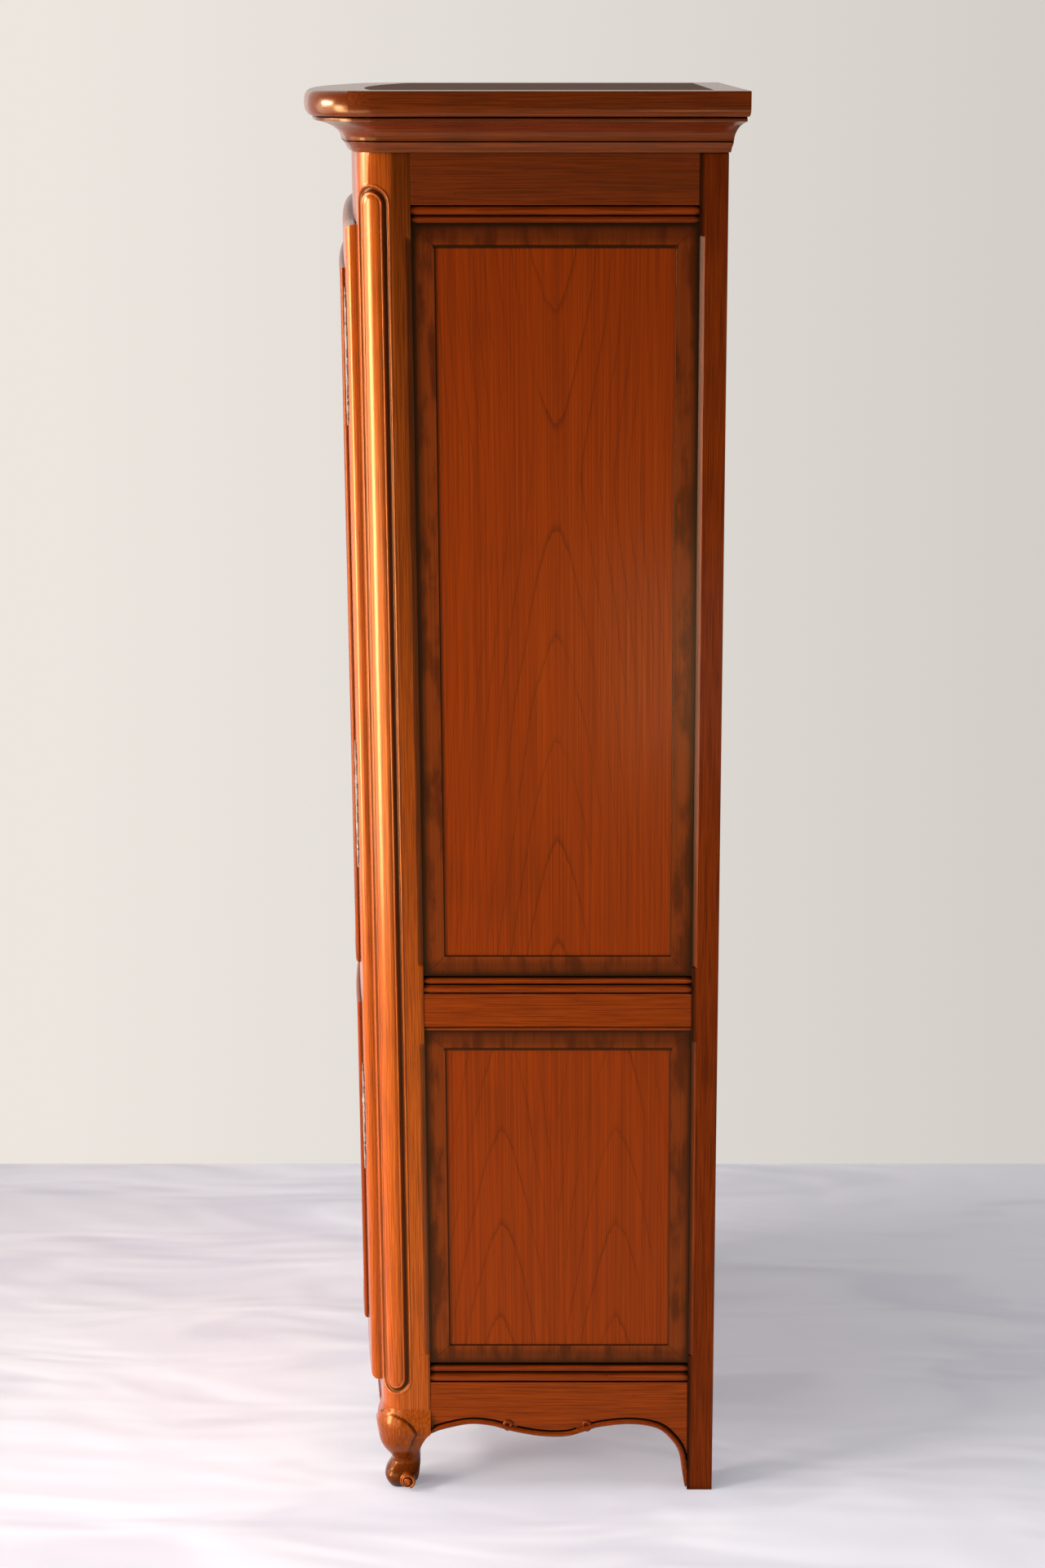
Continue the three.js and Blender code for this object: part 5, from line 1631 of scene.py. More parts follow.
@dataclass(frozen=True)
class Cornice:
    """The cornice: one moulded front with two round corners, two sides and a shallow back."""

    profile: CorniceProfile = CorniceProfile()
    corner_steps: int = 16
    bow_steps: int = 36
    side_steps: int = 8
    crisp: float = 38.0

    def front(self) -> Piece:
        """The front moulding, from the right side's joint round to the left one's."""
        piece = Piece("cornice_front_moulded")
        end = math.pi / 2 - PLAN.bow_turn
        start = self.profile.joint
        corner = [PLAN.corner_station(start + (end - start) * s) for s in shares(self.corner_steps)]
        bow = [PLAN.bow_station(PLAN.bow_turn * (1 - 2 * s)) for s in shares(self.bow_steps)]
        flip = np.array([-1.0, 1.0])
        far = [(point * flip, normal * flip) for point, normal in reversed(corner)]
        made = [self.profile.ring(station, True) for station in [*corner, *bow[1:-1], *far]]
        return piece.add_loft([ring for ring, _ in made], patina_and_shade=[tone for _, tone in made])

    def mitre(self, ring: np.ndarray, shift: float) -> np.ndarray:
        """Lays a section on the back corner's mitre."""
        out = ring[:, 0] - PLAN.half_width
        back = np.where(out > 0, out * PLAN.cornice_back / PLAN.cornice_reach, out)
        laid = ring.copy()
        laid[:, 1] = PLAN.half_depth + back + shift
        return laid

    def side(self) -> Piece:
        """The right side's moulding."""
        piece = Piece("cornice_side_right_moulded")
        start = self.profile.joint - PLAN.seat / (PLAN.corner_radius + PLAN.cornice_reach)
        made = [self.profile.ring(PLAN.corner_station(start * (1 - s)), False) for s in shares(self.side_steps)]
        ring, tone = self.profile.ring(PLAN.corner_station(0.0), False)
        made.append((self.mitre(ring, -PLAN.seat), tone))
        return piece.add_loft([r for r, _ in made], patina_and_shade=[t for _, t in made])

    def back(self) -> Piece:
        """The shallow moulding along the back."""
        ring, tone = self.profile.ring(PLAN.corner_station(0.0), False)
        half = self.mitre(ring, 0.0)
        return Piece("cornice_back_moulded").add_loft([half, half * np.array([-1.0, 1, 1])], patina_and_shade=[tone, tone])

    def build(self, across: bpy.types.Material, deep: bpy.types.Material) -> None:
        """Makes the four mouldings.

        Args:
            across: Finish of the front and back.
            deep: Finish of the sides.
        """
        for which, piece in (("front", self.front()), ("back", self.back())):
            piece.place(across, Body.CARCASS, Slot.FRAME, f"cornice_{which}", self.crisp)
        self.side().place_both(deep, "cornice_side_right", self.crisp)


def side_run(name: str, rows: Sequence[Sequence[float]], inset: float, dark: float) -> Piece:
    """Runs a section between the two posts of the right side, darkened with painted shade at its ends, where it meets
    the posts.

    Args:
        name: The piece's name.
        rows: The section: place across, height and painted shade.
        inset: How far the painted shade reaches from the ends, in mm.
        dark: How much painted shade lies at the ends.

    Returns:
        The piece.
    """
    front, back = PLAN.side_span
    rings = [np.array([[x, y, z] for x, z, _ in rows]) for y in (front, front + inset, back - inset, back)]
    tones = [[min(tone + end, 1.0) for _, _, tone in rows] for end in (dark, 0.0, 0.0, dark)]
    return Piece(name).add_loft(rings, patina_and_shade=tones)


@dataclass(frozen=True)
class SideMoulding:
    """A moulding of two rolls, planted on the side panel against a rail."""

    proud: float = 411.5
    small_back: float = 3.0
    large_share: float = 0.56
    waist_share: float = 0.35
    roll_turns: tuple[float, float, int] = (-90.0, 90.0, 15)
    # painted shade: darkest where the rolls meet each other, the panel and the rail, and at the ends beside the posts
    roll_dark: float = 0.95
    crisp: float = 45.0
    edge_dark: tuple[float, float] = (0.8, 0.9)
    end_inset: float = 9.0
    end_dark: float = 0.6

    def section(self, height: float) -> list[tuple[float, float, float]]:
        """Points of the section: place across, distance from the rail, and painted shade."""
        large = height * self.large_share / 2
        small = (height - PLAN.seat - 2 * large) / 2
        waist = PANEL_FACE + (self.proud - PANEL_FACE) * self.waist_share
        rows = [(PANEL_FACE, 0.0, self.edge_dark[0])]
        rolls = ((large, large, self.proud), (2 * large + small, small, self.proud - self.small_back))
        for centre, radius, reach in rolls:
            for turn in np.radians(np.linspace(*self.roll_turns)):
                dark = self.roll_dark * math.sin(turn) ** 2
                rows.append((waist + (reach - waist) * math.cos(turn), centre + radius * math.sin(turn), dark))
        rows.append((PANEL_FACE, 2 * (large + small), self.edge_dark[1]))
        return rows

    def build(self, name: str, edge: float, height: float, up: float, material: bpy.types.Material) -> None:
        """Makes a moulding for both sides.

        Args:
            name: Which moulding: top, middle or bottom.
            edge: Height of the rail's edge.
            height: The moulding's own height.
            up: 1 if the panel lies over the moulding, and -1 if it lies under.
            material: Its finish.
        """
        rows = [(x, edge + up * (PLAN.seat + off), tone) for x, off, tone in self.section(height)]
        piece = side_run(f"side_{name}_moulding_right_rolled", rows, self.end_inset, self.end_dark)
        piece.place_both(material, f"side_{name}_moulding_right", sharp=self.crisp)


@dataclass(frozen=True)
class MiddleRail:
    """The side's middle rail with the fine bead under it."""

    foot: float = 748.0
    head: float = 799.0
    bead: float = 7.0
    face: float = 408.0
    bead_turns: tuple[float, float, int] = (-90.0, 84.0, 12)
    # painted shade: on the panel under the bead, in the quirk, on the arrises and at the ends beside the posts
    bead_dark: tuple[float, float] = (0.5, 0.8)
    crisp: float = 40.0
    quirk: tuple[float, float] = (1.6, 0.2)
    foot_arris: tuple[tuple[float, float, float], ...] = ((-0.8, 0.1, 0.3), (0.0, 0.9, 0.0))
    head_arris: tuple[tuple[float, float, float], ...] = ((0.0, -1.0, 0.0), (-1.0, 0.0, 0.3))
    end_inset: float = 3.0
    end_dark: float = 0.5

    def build(self, material: bpy.types.Material) -> None:
        """Makes both middle rails."""
        right, radius = PLAN.half_width, self.bead / 2
        rows = [(RAIL_BACK, self.head, 0.0), (RAIL_BACK, self.foot, 0.0)]
        rows += [(PANEL_FACE, self.foot - drop, dark) for drop, dark in zip((0.0, self.bead), self.bead_dark)]
        bead = arc((self.face - radius, self.foot - radius), (radius, radius), *self.bead_turns)
        rows += [(x, z, 0.0) for x, z in bead]
        rows.append((self.face - self.quirk[0], self.foot - self.quirk[1], 1.0))
        rows += [(right + x, self.foot + z, tone) for x, z, tone in self.foot_arris]
        rows += [(right + x, self.head + z, tone) for x, z, tone in self.head_arris]
        piece = side_run("side_middle_rail_right_beaded", rows, self.end_inset, self.end_dark)
        piece.place_both(material, "side_middle_rail_right", sharp=self.crisp)


@dataclass(frozen=True)
class SideApron:
    """The side's bottom rail: two arches and a hanging lobe, edged by a carved bead that curls at the cusps."""

    top: float = 180.5
    arris: float = 0.9
    top_arris: float = 0.8
    # painted shade: on the cut edge and the back, on the sunken half of the bead and the scrolls, and in the dark line
    # over the bead
    edge_dark: float = 0.3
    leg: tuple[float, float] = (3.0, 6.0)
    bead: float = 4.3
    bead_sink: float = 0.6
    bead_sides: int = 14
    bead_dark: float = 0.9
    line: float = 2.0
    line_lift: float = 0.9
    line_sink: float = 1.0
    line_dark: float = 3.0
    line_stop: int = 4
    line_sides: int = 6
    edge_steps: int = 9
    crisp: float = 42.0
    scroll: tuple[float, float] = (8.0, 2.2)
    scroll_turns: tuple[float, float] = (-90.0, 330.0)
    scroll_steps: int = 30
    scroll_off: tuple[float, float] = (2.0, 2.6)
    scroll_bar: tuple[float, float] = (3.2, 1.9)
    scroll_sink: float = 0.1
    scroll_dark: float = 0.95
    arches: tuple[tuple[tuple[float, float], ...], ...] = (
        ((0, 0.525), (0.05, 0.568), (0.15, 0.614), (0.235, 0.599), (0.308, 0.553)),
        ((0.308, 0.553), (0.36, 0.527), (0.42, 0.505), (0.478, 0.497), (0.54, 0.505), (0.6, 0.546)),
        ((0.6, 0.546), (0.66, 0.588), (0.78, 0.614), (0.88, 0.576), (0.934, 0.479), (0.967, 0.36), (0.98, 0.2)),
    )

    def curve(self, rows: Sequence[tuple[float, float]]) -> np.ndarray:
        """One arch of the edge as places along Y and up Z."""
        front, back = PLAN.side_span
        return smooth_through([(front + (back - front) * a, self.top * b) for a, b in rows], self.edge_steps)

    def lifted(self, edge: np.ndarray, lift: float) -> np.ndarray:
        """A curve moved up from the edge, square to it."""
        along = np.gradient(edge, axis=0)
        along /= np.linalg.norm(along, axis=1)[:, None]
        return edge + np.column_stack([-along[:, 1], along[:, 0]]) * lift

    def curl(self, cusp: np.ndarray, lean: float) -> np.ndarray:
        """The scroll over a cusp: the lobe's bead winds up and outwards, round on itself."""
        turns = np.radians(np.linspace(*self.scroll_turns, self.scroll_steps))
        radii = np.linspace(*self.scroll, self.scroll_steps)
        centre = cusp + np.array([lean * self.scroll_off[0], self.scroll[0] + self.scroll_off[1]])
        return centre + np.column_stack([lean * np.cos(turns) * radii, np.sin(turns) * radii])

    def board(self, edge: np.ndarray) -> Piece:
        """The rail itself, cut to its scalloped edge, with eased arrises."""
        front, back = PLAN.side_span
        outline = [[front, self.top], *edge.tolist(), [back - self.leg[0], self.leg[1]]]
        outline += [[back, self.leg[1]], [back, self.top]]
        right = PLAN.half_width
        rings = [np.array([[x, y, z] for y, z in outline]) for x in (RAIL_BACK, right - self.arris, right)]
        rings[2][0] += np.array([0, self.top_arris, -self.top_arris])
        rings[2][-1] += np.array([0, -self.top_arris, -self.top_arris])
        tones = [[dark] * len(outline) for dark in (self.edge_dark, self.edge_dark, 0.0)]
        return Piece("side_bottom_rail_right_carved").add_loft(rings, patina_and_shade=tones)

    def build(self, material: bpy.types.Material) -> None:
        """Makes both bottom rails."""

        def laid(path: np.ndarray, sink: float) -> np.ndarray:
            return np.column_stack([np.full(len(path), PLAN.half_width - sink), path])

        curves = [self.curve(rows) for rows in self.arches]
        piece = self.board(np.vstack([curves[0], curves[1][1:], curves[2][1:]]))
        for curve in curves:
            bead = laid(self.lifted(curve, self.bead), self.bead_sink)
            piece.add_bar(bead, [self.bead] * len(bead), SIDEWAYS, self.bead_sides, self.bead_dark)
            line = self.lifted(curve, 2 * self.bead + self.line_lift)[self.line_stop : -self.line_stop]
            radii = [self.line] * len(line)
            piece.add_bar(laid(line, self.line_sink), radii, -SIDEWAYS, self.line_sides, self.line_dark)
        for cusp, lean in ((curves[0][-1], -1.0), (curves[2][0], 1.0)):
            winding = laid(self.curl(cusp, lean), self.scroll_sink)
            radii = np.linspace(*self.scroll_bar, len(winding))
            piece.add_bar(winding, radii, SIDEWAYS, darkness=self.scroll_dark)
        piece.place_both(material, "side_bottom_rail_right", sharp=self.crisp)


# Door, frieze and front apron


@dataclass(frozen=True)
class DoorPlan:
    """Sizes of the door and of the rails over and under it, in mm."""

    face: float = 14.5
    back: float = 11.5
    flat_back: float = -241.81
    rounding: float = 9.0
    hinge_edge: float = -352.0
    lock_edge: float = 354.0
    stile: float = 70.0
    foot: float = 157.0
    spring: float = 1887.0
    rise: float = 25.0
    top_rail: float = 72.0
    middle: tuple[float, float] = (737.0, 815.0)
    bottom_rail: float = 80.0
    key_x: float = 320.0
    key_height: float = 1059.0
    apron_top: float = 112.0
    lobe_end: float = 0.2
    lobe_drop: float = 20.0
    lobe_flat: float = 0.35
    arch_end: float = 0.86
    arch_foot: float = 105.0
    arch_rise: float = 7.0
    leg_drop: float = 17.24

    def arch(self, x: float) -> float:
        """The arched head of the door."""
        share = min(abs(x) / PLAN.doorway, 1.0)
        return self.spring + self.rise * (1 + math.cos(math.pi * share)) / 2

    def apron_edge(self, x: float) -> float:
        """The lower edge of the front apron: two arches, and a lobe in the middle."""
        share = abs(x) / PLAN.doorway
        if share < self.lobe_end:
            turn = math.pi / 2 * share / self.lobe_end
            return self.apron_top - self.lobe_drop * (self.lobe_flat + (1 - self.lobe_flat) * math.cos(turn))
        if share < self.arch_end:
            turn = math.pi / 2 * min(2 * (share - self.lobe_end) / (self.arch_end - self.lobe_end), 1.0)
            return self.arch_foot + self.arch_rise * math.sin(turn)
        return self.apron_top - self.leg_drop * ((share - self.arch_end) / (1 - self.arch_end)) ** 2


DOOR = DoorPlan()


def level(height: float) -> Callable[[float], float]:
    """A straight line at one height, or a flat face at one depth."""
    return lambda x: height


def bowed(out: float) -> Callable[[float], float]:
    """A face that follows the bow, this far in front of it."""
    return lambda x: PLAN.front_at(x, out)


@dataclass(frozen=True)
class Skin:
    """One layer of a bowed board: its ends, its foot and head lines, where it lies, and its patina."""

    left: float
    right: float
    foot: Callable[[float], float]
    head: Callable[[float], float]
    lie: Callable[[float], float]
    tone: float = 0.0

    def ring(self, columns: int) -> np.ndarray:
        """Its outline: along the foot from left to right, and back along the head."""
        places = self.left + (self.right - self.left) * shares(columns)
        low = [[x, self.lie(x), self.foot(x)] for x in places]
        return np.array(low + [[x, self.lie(x), self.head(x)] for x in reversed(places)])


def add_bowed_board(piece: Piece, columns: int, skins: Sequence[Skin]) -> Piece:
    """Adds a board that follows the bow.

    Args:
        piece: The piece that takes it.
        columns: How many columns it has across the press.
        skins: Its layers, from back to front.

    Returns:
        The piece.
    """
    ids = [piece.add_points(skin.ring(columns), [skin.tone] * (2 * columns + 2)) for skin in skins]
    first, count = len(piece.faces), len(ids[0])
    for near, far in zip(ids, ids[1:]):
        piece.add_band(near, far)
    for ring, order in ((ids[0], -1), (ids[-1], 1)):
        for k in range(columns):
            face = (ring[k], ring[k + 1], ring[count - 2 - k], ring[count - 1 - k])
            piece.faces.append(face[::order])
    piece.turn_out(first)
    return piece


def cut_away(target: bpy.types.Object, cutter: Piece) -> None:
    """Cuts the shape of one piece out of a placed one, and leaves nothing of the cutter.

    Args:
        target: The placed piece.
        cutter: The shape that is taken away.
    """
    tool = bpy.data.objects.new(cutter.name, cutter.mesh())
    bpy.context.scene.collection.objects.link(tool)
    cut = target.modifiers.new("cut", "BOOLEAN")
    cut.operation = "DIFFERENCE"
    cut.solver = "EXACT"
    cut.object = tool
    shaped = target.evaluated_get(bpy.context.evaluated_depsgraph_get())
    made = bpy.data.meshes.new_from_object(shaped)
    target.modifiers.remove(cut)
    target.data = made
    bpy.data.objects.remove(tool)


@dataclass(frozen=True)
class Door:
    """The arched door: two stiles, three rails and two bolection panels."""

    back_dark: float = 0.3
    flat_columns: int = 6
    bowed_columns: int = 28
    rounding_turns: tuple[float, float, int] = (0.0, 90.0, 10)
    tongue: float = -9.0
    lap: float = -8.0
    # painted shade: under the lap where the panel's moulding sits on the frame, in the moulding's hollow, and at the
    # foot of the raised field
    lap_dark: float = 0.9
    moulding: tuple[tuple[float, float], ...] = (
        (-8.0, 16.2),
        (-7.4, 18.4),
        (-5.4, 20.3),
        (-2.4, 21.0),
        (0.8, 20.6),
        (3.0, 19.3),
    )
    hollow: tuple[tuple[float, float], ...] = ((3.4, 18.4), (4.4, 15.4), (6.4, 13.2), (9.4, 12.3))
    hollow_dark: float = 0.6
    raised: tuple[tuple[float, float, float], ...] = (
        (9.5, 11.5, 1.0),
        (11.5, 11.5, 0.5),
        (16.6, 11.5, 0.35),
        (17.0, 11.9, 0.1),
        (50.0, 14.3, 0.0),
        (50.6, 14.9, 0.2),
        (51.6, 15.0, 0.0),
    )
    key_radius: float = 4.0
    key_slot: float = 2.0
    key_drop: float = 13.0
    key_turns: tuple[float, float, int] = (-45.0, 225.0, 19)
    key_neck: float = -3.46
    key_depths: tuple[float, float] = (-320.0, -200.0)

    def member(
        self,
        name: str,
        ends: tuple[float, float],
        lines: Sequence[Callable[[float], float]],
        rounded: str,
        flat: bool,
    ) -> Piece:
        """Makes a member of the frame; only its outer edges are rounded.

        Args:
            name: Its name.
            ends: Its left and right ends.
            lines: Its foot and its head.
            rounded: Which edges are rounded: left, right, foot, head.
            flat: Whether its back is flat; otherwise it follows the bow.

        Returns:
            The piece.
        """
        drawn = [float(side in rounded) for side in ("left", "right", "foot", "head")]

        def skin(inset: float, lie: Callable[[float], float], tone: float) -> Skin:
            left, right, foot, head = (inset * share for share in drawn)
            line = (lambda x: lines[0](x) + foot, lambda x: lines[1](x) - head)
            return Skin(ends[0] + left, ends[1] - right, *line, lie, tone)

        skins = [skin(0.0, level(DOOR.flat_back) if flat else bowed(-DOOR.back), self.back_dark)]
        turns = np.radians(np.linspace(*self.rounding_turns)) if rounded else [math.pi / 2]
        for turn in turns:
            inset = DOOR.rounding * (1 - math.cos(turn)) if rounded else 0.0
            out = DOOR.face - DOOR.rounding * (1 - math.sin(turn))
            skins.append(skin(inset, bowed(out), 0.0))
        return add_bowed_board(Piece(name), self.flat_columns if flat else self.bowed_columns, skins)

    def panel(self, name: str, low: Callable[[float], float], high: Callable[[float], float]) -> Piece:
        """Makes a bolection panel: a moulding that laps over the frame, round a raised field.

        Args:
            name: Its name.
            low: The line of its opening's foot.
            high: The line of its opening's head.

        Returns:
            The piece.
        """
        lap = DOOR.face + PLAN.seat
        rows = [(PLAN.seat, self.tongue, self.back_dark)]
        rows += [(inset, lap, self.lap_dark) for inset in (PLAN.seat, self.lap)]
        rows += [(a, b, 0.0) for a, b in smooth_through(self.moulding)]
        hollow = smooth_through(self.hollow)
        rows += [(a, b, self.hollow_dark * (1 - i / (len(hollow) - 1))) for i, (a, b) in enumerate(hollow)]
        rows += self.raised
        left, right = DOOR.hinge_edge + DOOR.stile, DOOR.lock_edge - DOOR.stile
        skins = [
            Skin(left + a, right - a, lambda x, a=a: low(x) + a, lambda x, a=a: high(x) - a, bowed(out), tone)
            for a, out, tone in rows
        ]
        return add_bowed_board(Piece(name), self.bowed_columns, skins)

    def keyhole(self) -> Piece:
        """The keyhole's cutter: a round bore with a slot under it."""
        half, low, neck = self.key_slot, -self.key_drop, self.key_neck
        turns = np.radians(np.linspace(*self.key_turns))
        bore = [(self.key_radius * math.cos(turn), self.key_radius * math.sin(turn)) for turn in turns]
        outline = [(-half, low), (half, low), (half, neck), *bore, (-half, neck)]
        rings = [np.array([[DOOR.key_x + x, y, DOOR.key_height + z] for x, z in outline]) for y in self.key_depths]
        return Piece("keyhole_cutter").add_loft(rings)

    def build(
        self, upright: bpy.types.Material, across: bpy.types.Material, panels: Sequence[bpy.types.Material]
    ) -> None:
        """Makes the door.

        Args:
            upright: Finish of the stiles.
            across: Finish of the rails.
            panels: Finishes of the upper and the lower panel.
        """
        left, right = DOOR.hinge_edge + DOOR.stile, DOOR.lock_edge - DOOR.stile
        full = (level(DOOR.foot), DOOR.arch)
        hinged = self.member("door_hinge_stile_rounded", (DOOR.hinge_edge, left), full, "left foot head", True)
        hinged.place(upright, Body.DOOR, Slot.FRAME, "door_hinge_stile")
        locked = self.member("door_lock_stile_rounded", (right, DOOR.lock_edge), full, "right foot head", True)
        cut_away(locked.place(upright, Body.DOOR, Slot.FRAME, "door_lock_stile"), self.keyhole())
        ends = (left + PLAN.seat, right - PLAN.seat)
        panel_head = lambda x: DOOR.arch(x) - DOOR.top_rail
        rails = {
            "top": ((panel_head, DOOR.arch), "head"),
            "middle": (tuple(level(z) for z in DOOR.middle), ""),
            "bottom": ((level(DOOR.foot), level(DOOR.foot + DOOR.bottom_rail)), "foot"),
        }
        for which, (lines, rounded) in rails.items():
            rail = self.member(f"door_{which}_rail_bowed", ends, lines, rounded, False)
            rail.place(across, Body.DOOR, Slot.FRAME, f"door_{which}_rail")
        openings = {
            "upper": (level(DOOR.middle[1]), panel_head),
            "lower": (level(DOOR.foot + DOOR.bottom_rail), level(DOOR.middle[0])),
        }
        for (which, lines), finish in zip(openings.items(), panels):
            panel = self.panel(f"door_{which}_panel_raised", *lines)
            panel.place(finish, Body.DOOR, Slot.PANELS, f"door_{which}_panel")


@dataclass(frozen=True)
class FrontRails:
    """The arched frieze over the door and the scalloped apron under it."""

    thickness: float = 24.0
    gap: float = 3.0
    bead: float = 4.6
    sink: float = 2.2
    back_dark: float = 0.3
    # painted shade on the bead's sunken half, where it meets the apron
    bead_dark: float = 0.9
    bead_sides: int = 14
    bead_steps: int = 96
    frieze_columns: int = 56
    apron_columns: int = 96
    frieze_ease: float = 0.8
    crisp: float = 42.0

    def board(self, name: str, columns: int, foot: Callable[[float], float], head: float) -> Piece:
        """A bowed board between the front posts, from a drawn foot to a straight head."""
        ends = (PLAN.seat - PLAN.doorway, PLAN.doorway - PLAN.seat)
        layers = ((-self.thickness, self.back_dark), (0.0, 0.0))
        skins = [Skin(*ends, foot, level(head), bowed(out), tone) for out, tone in layers]
        return add_bowed_board(Piece(name), columns, skins)

    def build(self, material: bpy.types.Material) -> None:
        """Makes both rails."""
        arched = lambda x: DOOR.arch(x) + self.gap
        frieze = self.board("frieze_rail_arched", self.frieze_columns, arched, PLAN.cornice_foot - PLAN.seat)
        frieze.place(material, Body.CARCASS, Slot.FRAME, "frieze_rail", ease=self.frieze_ease)
        apron = self.board("front_apron_scalloped", self.apron_columns, DOOR.apron_edge, DOOR.foot - self.gap)
        reach = PLAN.doorway - PLAN.seat - self.bead / 2
        places = np.linspace(reach, -reach, self.bead_steps + 1)
        path = [[x, PLAN.front_at(x, -self.sink), DOOR.apron_edge(x) + self.bead] for x in places]
        normals = [[*PLAN.bow_station(math.asin(x / PLAN.bow_radius))[1], 0.0] for x in places]
        apron.add_bar(np.array(path), [self.bead] * len(path), np.array(normals), self.bead_sides, self.bead_dark)
        apron.place(material, Body.CARCASS, Slot.FRAME, "front_apron", sharp=self.crisp)


# Pieces that keep their CAD mesh


@dataclass(frozen=True)
class SidePanel:
    """One pair of side panels: the border's width, the lowered field's foot and head, and its figure, in mm."""

    which: str
    border: float
    low: float
    high: float
    waist: float
    matched: float = 0.0
    seed: float = 0.0
    ease: float = 0.5

    def dress(self) -> None:
        """Dresses the two panels."""
        ends = (PLAN.post_back + self.border + PLAN.shift, PLAN.rear_front - self.border + PLAN.shift)
        place = PanelPlace((ends[0], self.low), (ends[1], self.high), self.waist)
        name = f"cherry_veneer_{self.which}_side"
        finish = CherryVeneer(name, Grain.UPRIGHT, place=place, matched=self.matched, seed=self.seed).build()
        for side in ("right", "left"):
            dress_node(f"side_{self.which}_panel_{side}", finish, self.ease)


@dataclass(frozen=True)
class DoorPanel:
    """The field of one of the door's panels: its foot, its head and its figure's waist, in mm."""

    which: str
    low: float
    high: float
    waist: float
    seed: float
    ends: tuple[float, float] = (-231.0, 233.0)
    steep: float = 0.2

    def finish(self) -> bpy.types.Material:
        """The panel's veneer: a wide crown, without borders."""
        veneer = CherryVeneer(
            f"cherry_veneer_{self.which}_door",
            Grain.UPRIGHT,
            place=PanelPlace((self.ends[0], self.low), (self.ends[1], self.high), self.waist, 0),
            bordered=False,
            steep=self.steep,
            seed=self.seed,
        )
        return veneer.build()


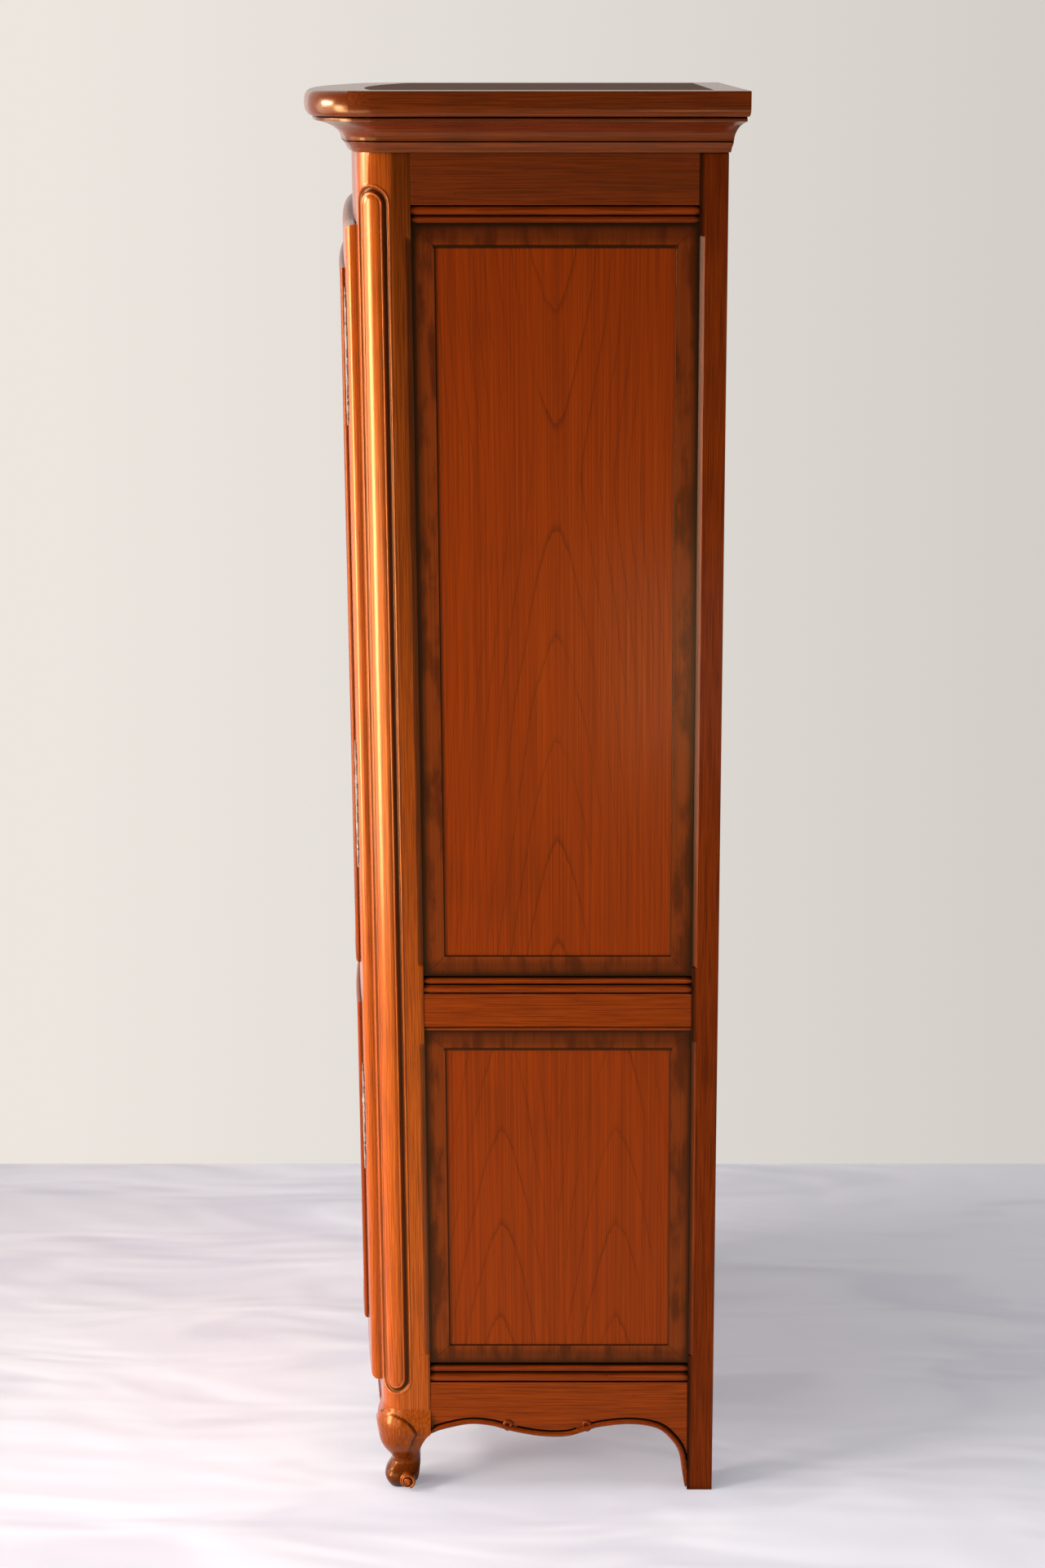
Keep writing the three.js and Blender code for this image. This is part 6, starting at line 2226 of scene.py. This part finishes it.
class Cabinet:
    """The whole press: its finishes, its sub-assemblies, and the nodes that keep their own mesh."""

    # name, rail's edge, height, and whether the panel lies over the moulding (1) or under it (-1)
    mouldings: tuple[tuple[str, float, float, float], ...] = (
        ("top", 1916.0, 24.0, -1.0),
        ("middle", 799.0, 24.0, 1.0),
        ("bottom", 180.5, 27.5, 1.0),
    )
    side_panels: tuple[SidePanel, ...] = (
        SidePanel("upper", 31.0, 854.0, 1861.0, 1549.0),
        SidePanel("lower", 30.0, 238.0, 711.0, 960.0, matched=84.0, seed=10.5),
    )
    door_panels: tuple[DoorPanel, ...] = (
        DoorPanel("upper", 866.0, 1790.0, 1420.0, seed=14.2),
        DoorPanel("lower", 288.0, 686.0, 900.0, seed=9.0),
    )
    # The posts, rubbed most by hands: the varnish is glossy and amber, so the window shows on them as a gold streak;
    # their paler stain is partly their own wood and partly painted light from the window on the front
    paler: dict[str, str | float] = {
        "light": "#C05A0E",
        "base": "#A6460A",
        "dark": "#772E06",
        "gloss": 0.9,
        "film": 0.1,
        "roughness": 0.2,
        "amber": "#FFB468",
    }
    # The rear posts, hardly rubbed: dull and deep red brown, with painted shade along the chamfered edge beside the
    # panels
    sombre: dict[str, str | float | Wash] = {
        "light": "#7E3106",
        "base": "#6E2805",
        "dark": "#4C1803",
        "roughness": 0.4,
        "gloss": 0.12,
        "shaded_edge": Wash(0.2535, 0.2475, 0.85),
    }
    # The cornice and the top rails, stained darker: brown in the shade, with a bright line along each round
    browner: dict[str, str | float] = {
        "light": "#742C06",
        "base": "#662304",
        "dark": "#451502",
        "amber": "#FFC070",
        "gloss": 0.6,
        "film": 0.1,
    }
    # The board over the cornice, never polished: grey brown and flat, as under settled dust
    dusty: dict[str, str | float] = {"light": "#64402C", "base": "#553522", "dark": "#3E2517", "gloss": 0.03}

    def __init__(self) -> None:
        """Makes the finishes that several pieces share."""
        upright, deep, across = Grain.UPRIGHT, Grain.DEPTH, Grain.ACROSS
        self.post = SatinCherry("cherry_satin_post", upright, seed=3.0, **self.paler).build()
        self.rear = SatinCherry("cherry_satin_rear", upright, seed=7.0, **self.sombre).build()
        self.deep = SatinCherry("cherry_satin_deep", deep, seed=5.0).build()
        self.across = SatinCherry("cherry_satin_across", across, seed=9.0).build()
        self.dark_deep = SatinCherry("cherry_dark_stained_deep", deep, seed=12.0, **self.browner).build()
        self.dark_across = SatinCherry("cherry_dark_stained_across", across, seed=15.0, **self.browner).build()
        self.top = WaxedBoard("cherry_top_dusty", deep, seed=8.0, **self.dusty).build()
        self.board = WaxedBoard("cherry_waxed_across", across, seed=2.0).build()
        self.board_upright = WaxedBoard("cherry_waxed_upright", upright, seed=4.0).build()
        self.board_deep = WaxedBoard("cherry_waxed_deep", deep, seed=6.0).build()
        self.silver = SilveredMetal().build()
        self.iron = OiledIron().build()

    def build(self) -> None:
        """Makes the carved and moulded pieces."""
        FrontPost().build(self.post)
        Cornice().build(self.dark_across, self.dark_deep)
        MiddleRail().build(self.deep)
        FrontRails().build(self.across)
        Door().build(self.post, self.across, [panel.finish() for panel in self.door_panels])
        SideApron().build(self.deep)
        for name, edge, height, up in self.mouldings:
            SideMoulding().build(name, edge, height, up, self.deep)

    def dress(self) -> None:
        """Dresses every node that keeps its mesh: the first name that a node starts with gives its finish."""
        finishes = (
            ("rear_post", self.rear, 1.2),
            ("cornice_top", self.top, 1.0),
            (("escutcheon", "hinge"), self.silver, 0.3),
            ("lock", self.iron, 0.5),
            ("back_panel", self.board_upright, 0.5),
            (("shelf", "bottom_board", "carcass_top", "back"), self.board, 1.0),
            ("cleat", self.board_deep, 1.0),
            ("side_top_rail", self.dark_deep, 1.0),
            ("", self.across, 1.0),
        )
        for panel in self.side_panels:
            panel.dress()
        for name, node in sorted(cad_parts.items()):
            if node.hide_render or name.startswith("side") and "panel" in name:
                continue
            finish, ease = next(rest for start, *rest in finishes if name.startswith(start))
            dress_node(name, finish, ease)


def main() -> None:
    """Builds the studio and the press."""
    logging.basicConfig(level=logging.INFO, format="%(message)s")
    Studio().build()
    cabinet = Cabinet()
    cabinet.build()
    cabinet.dress()


if __name__ == "__main__":
    main()
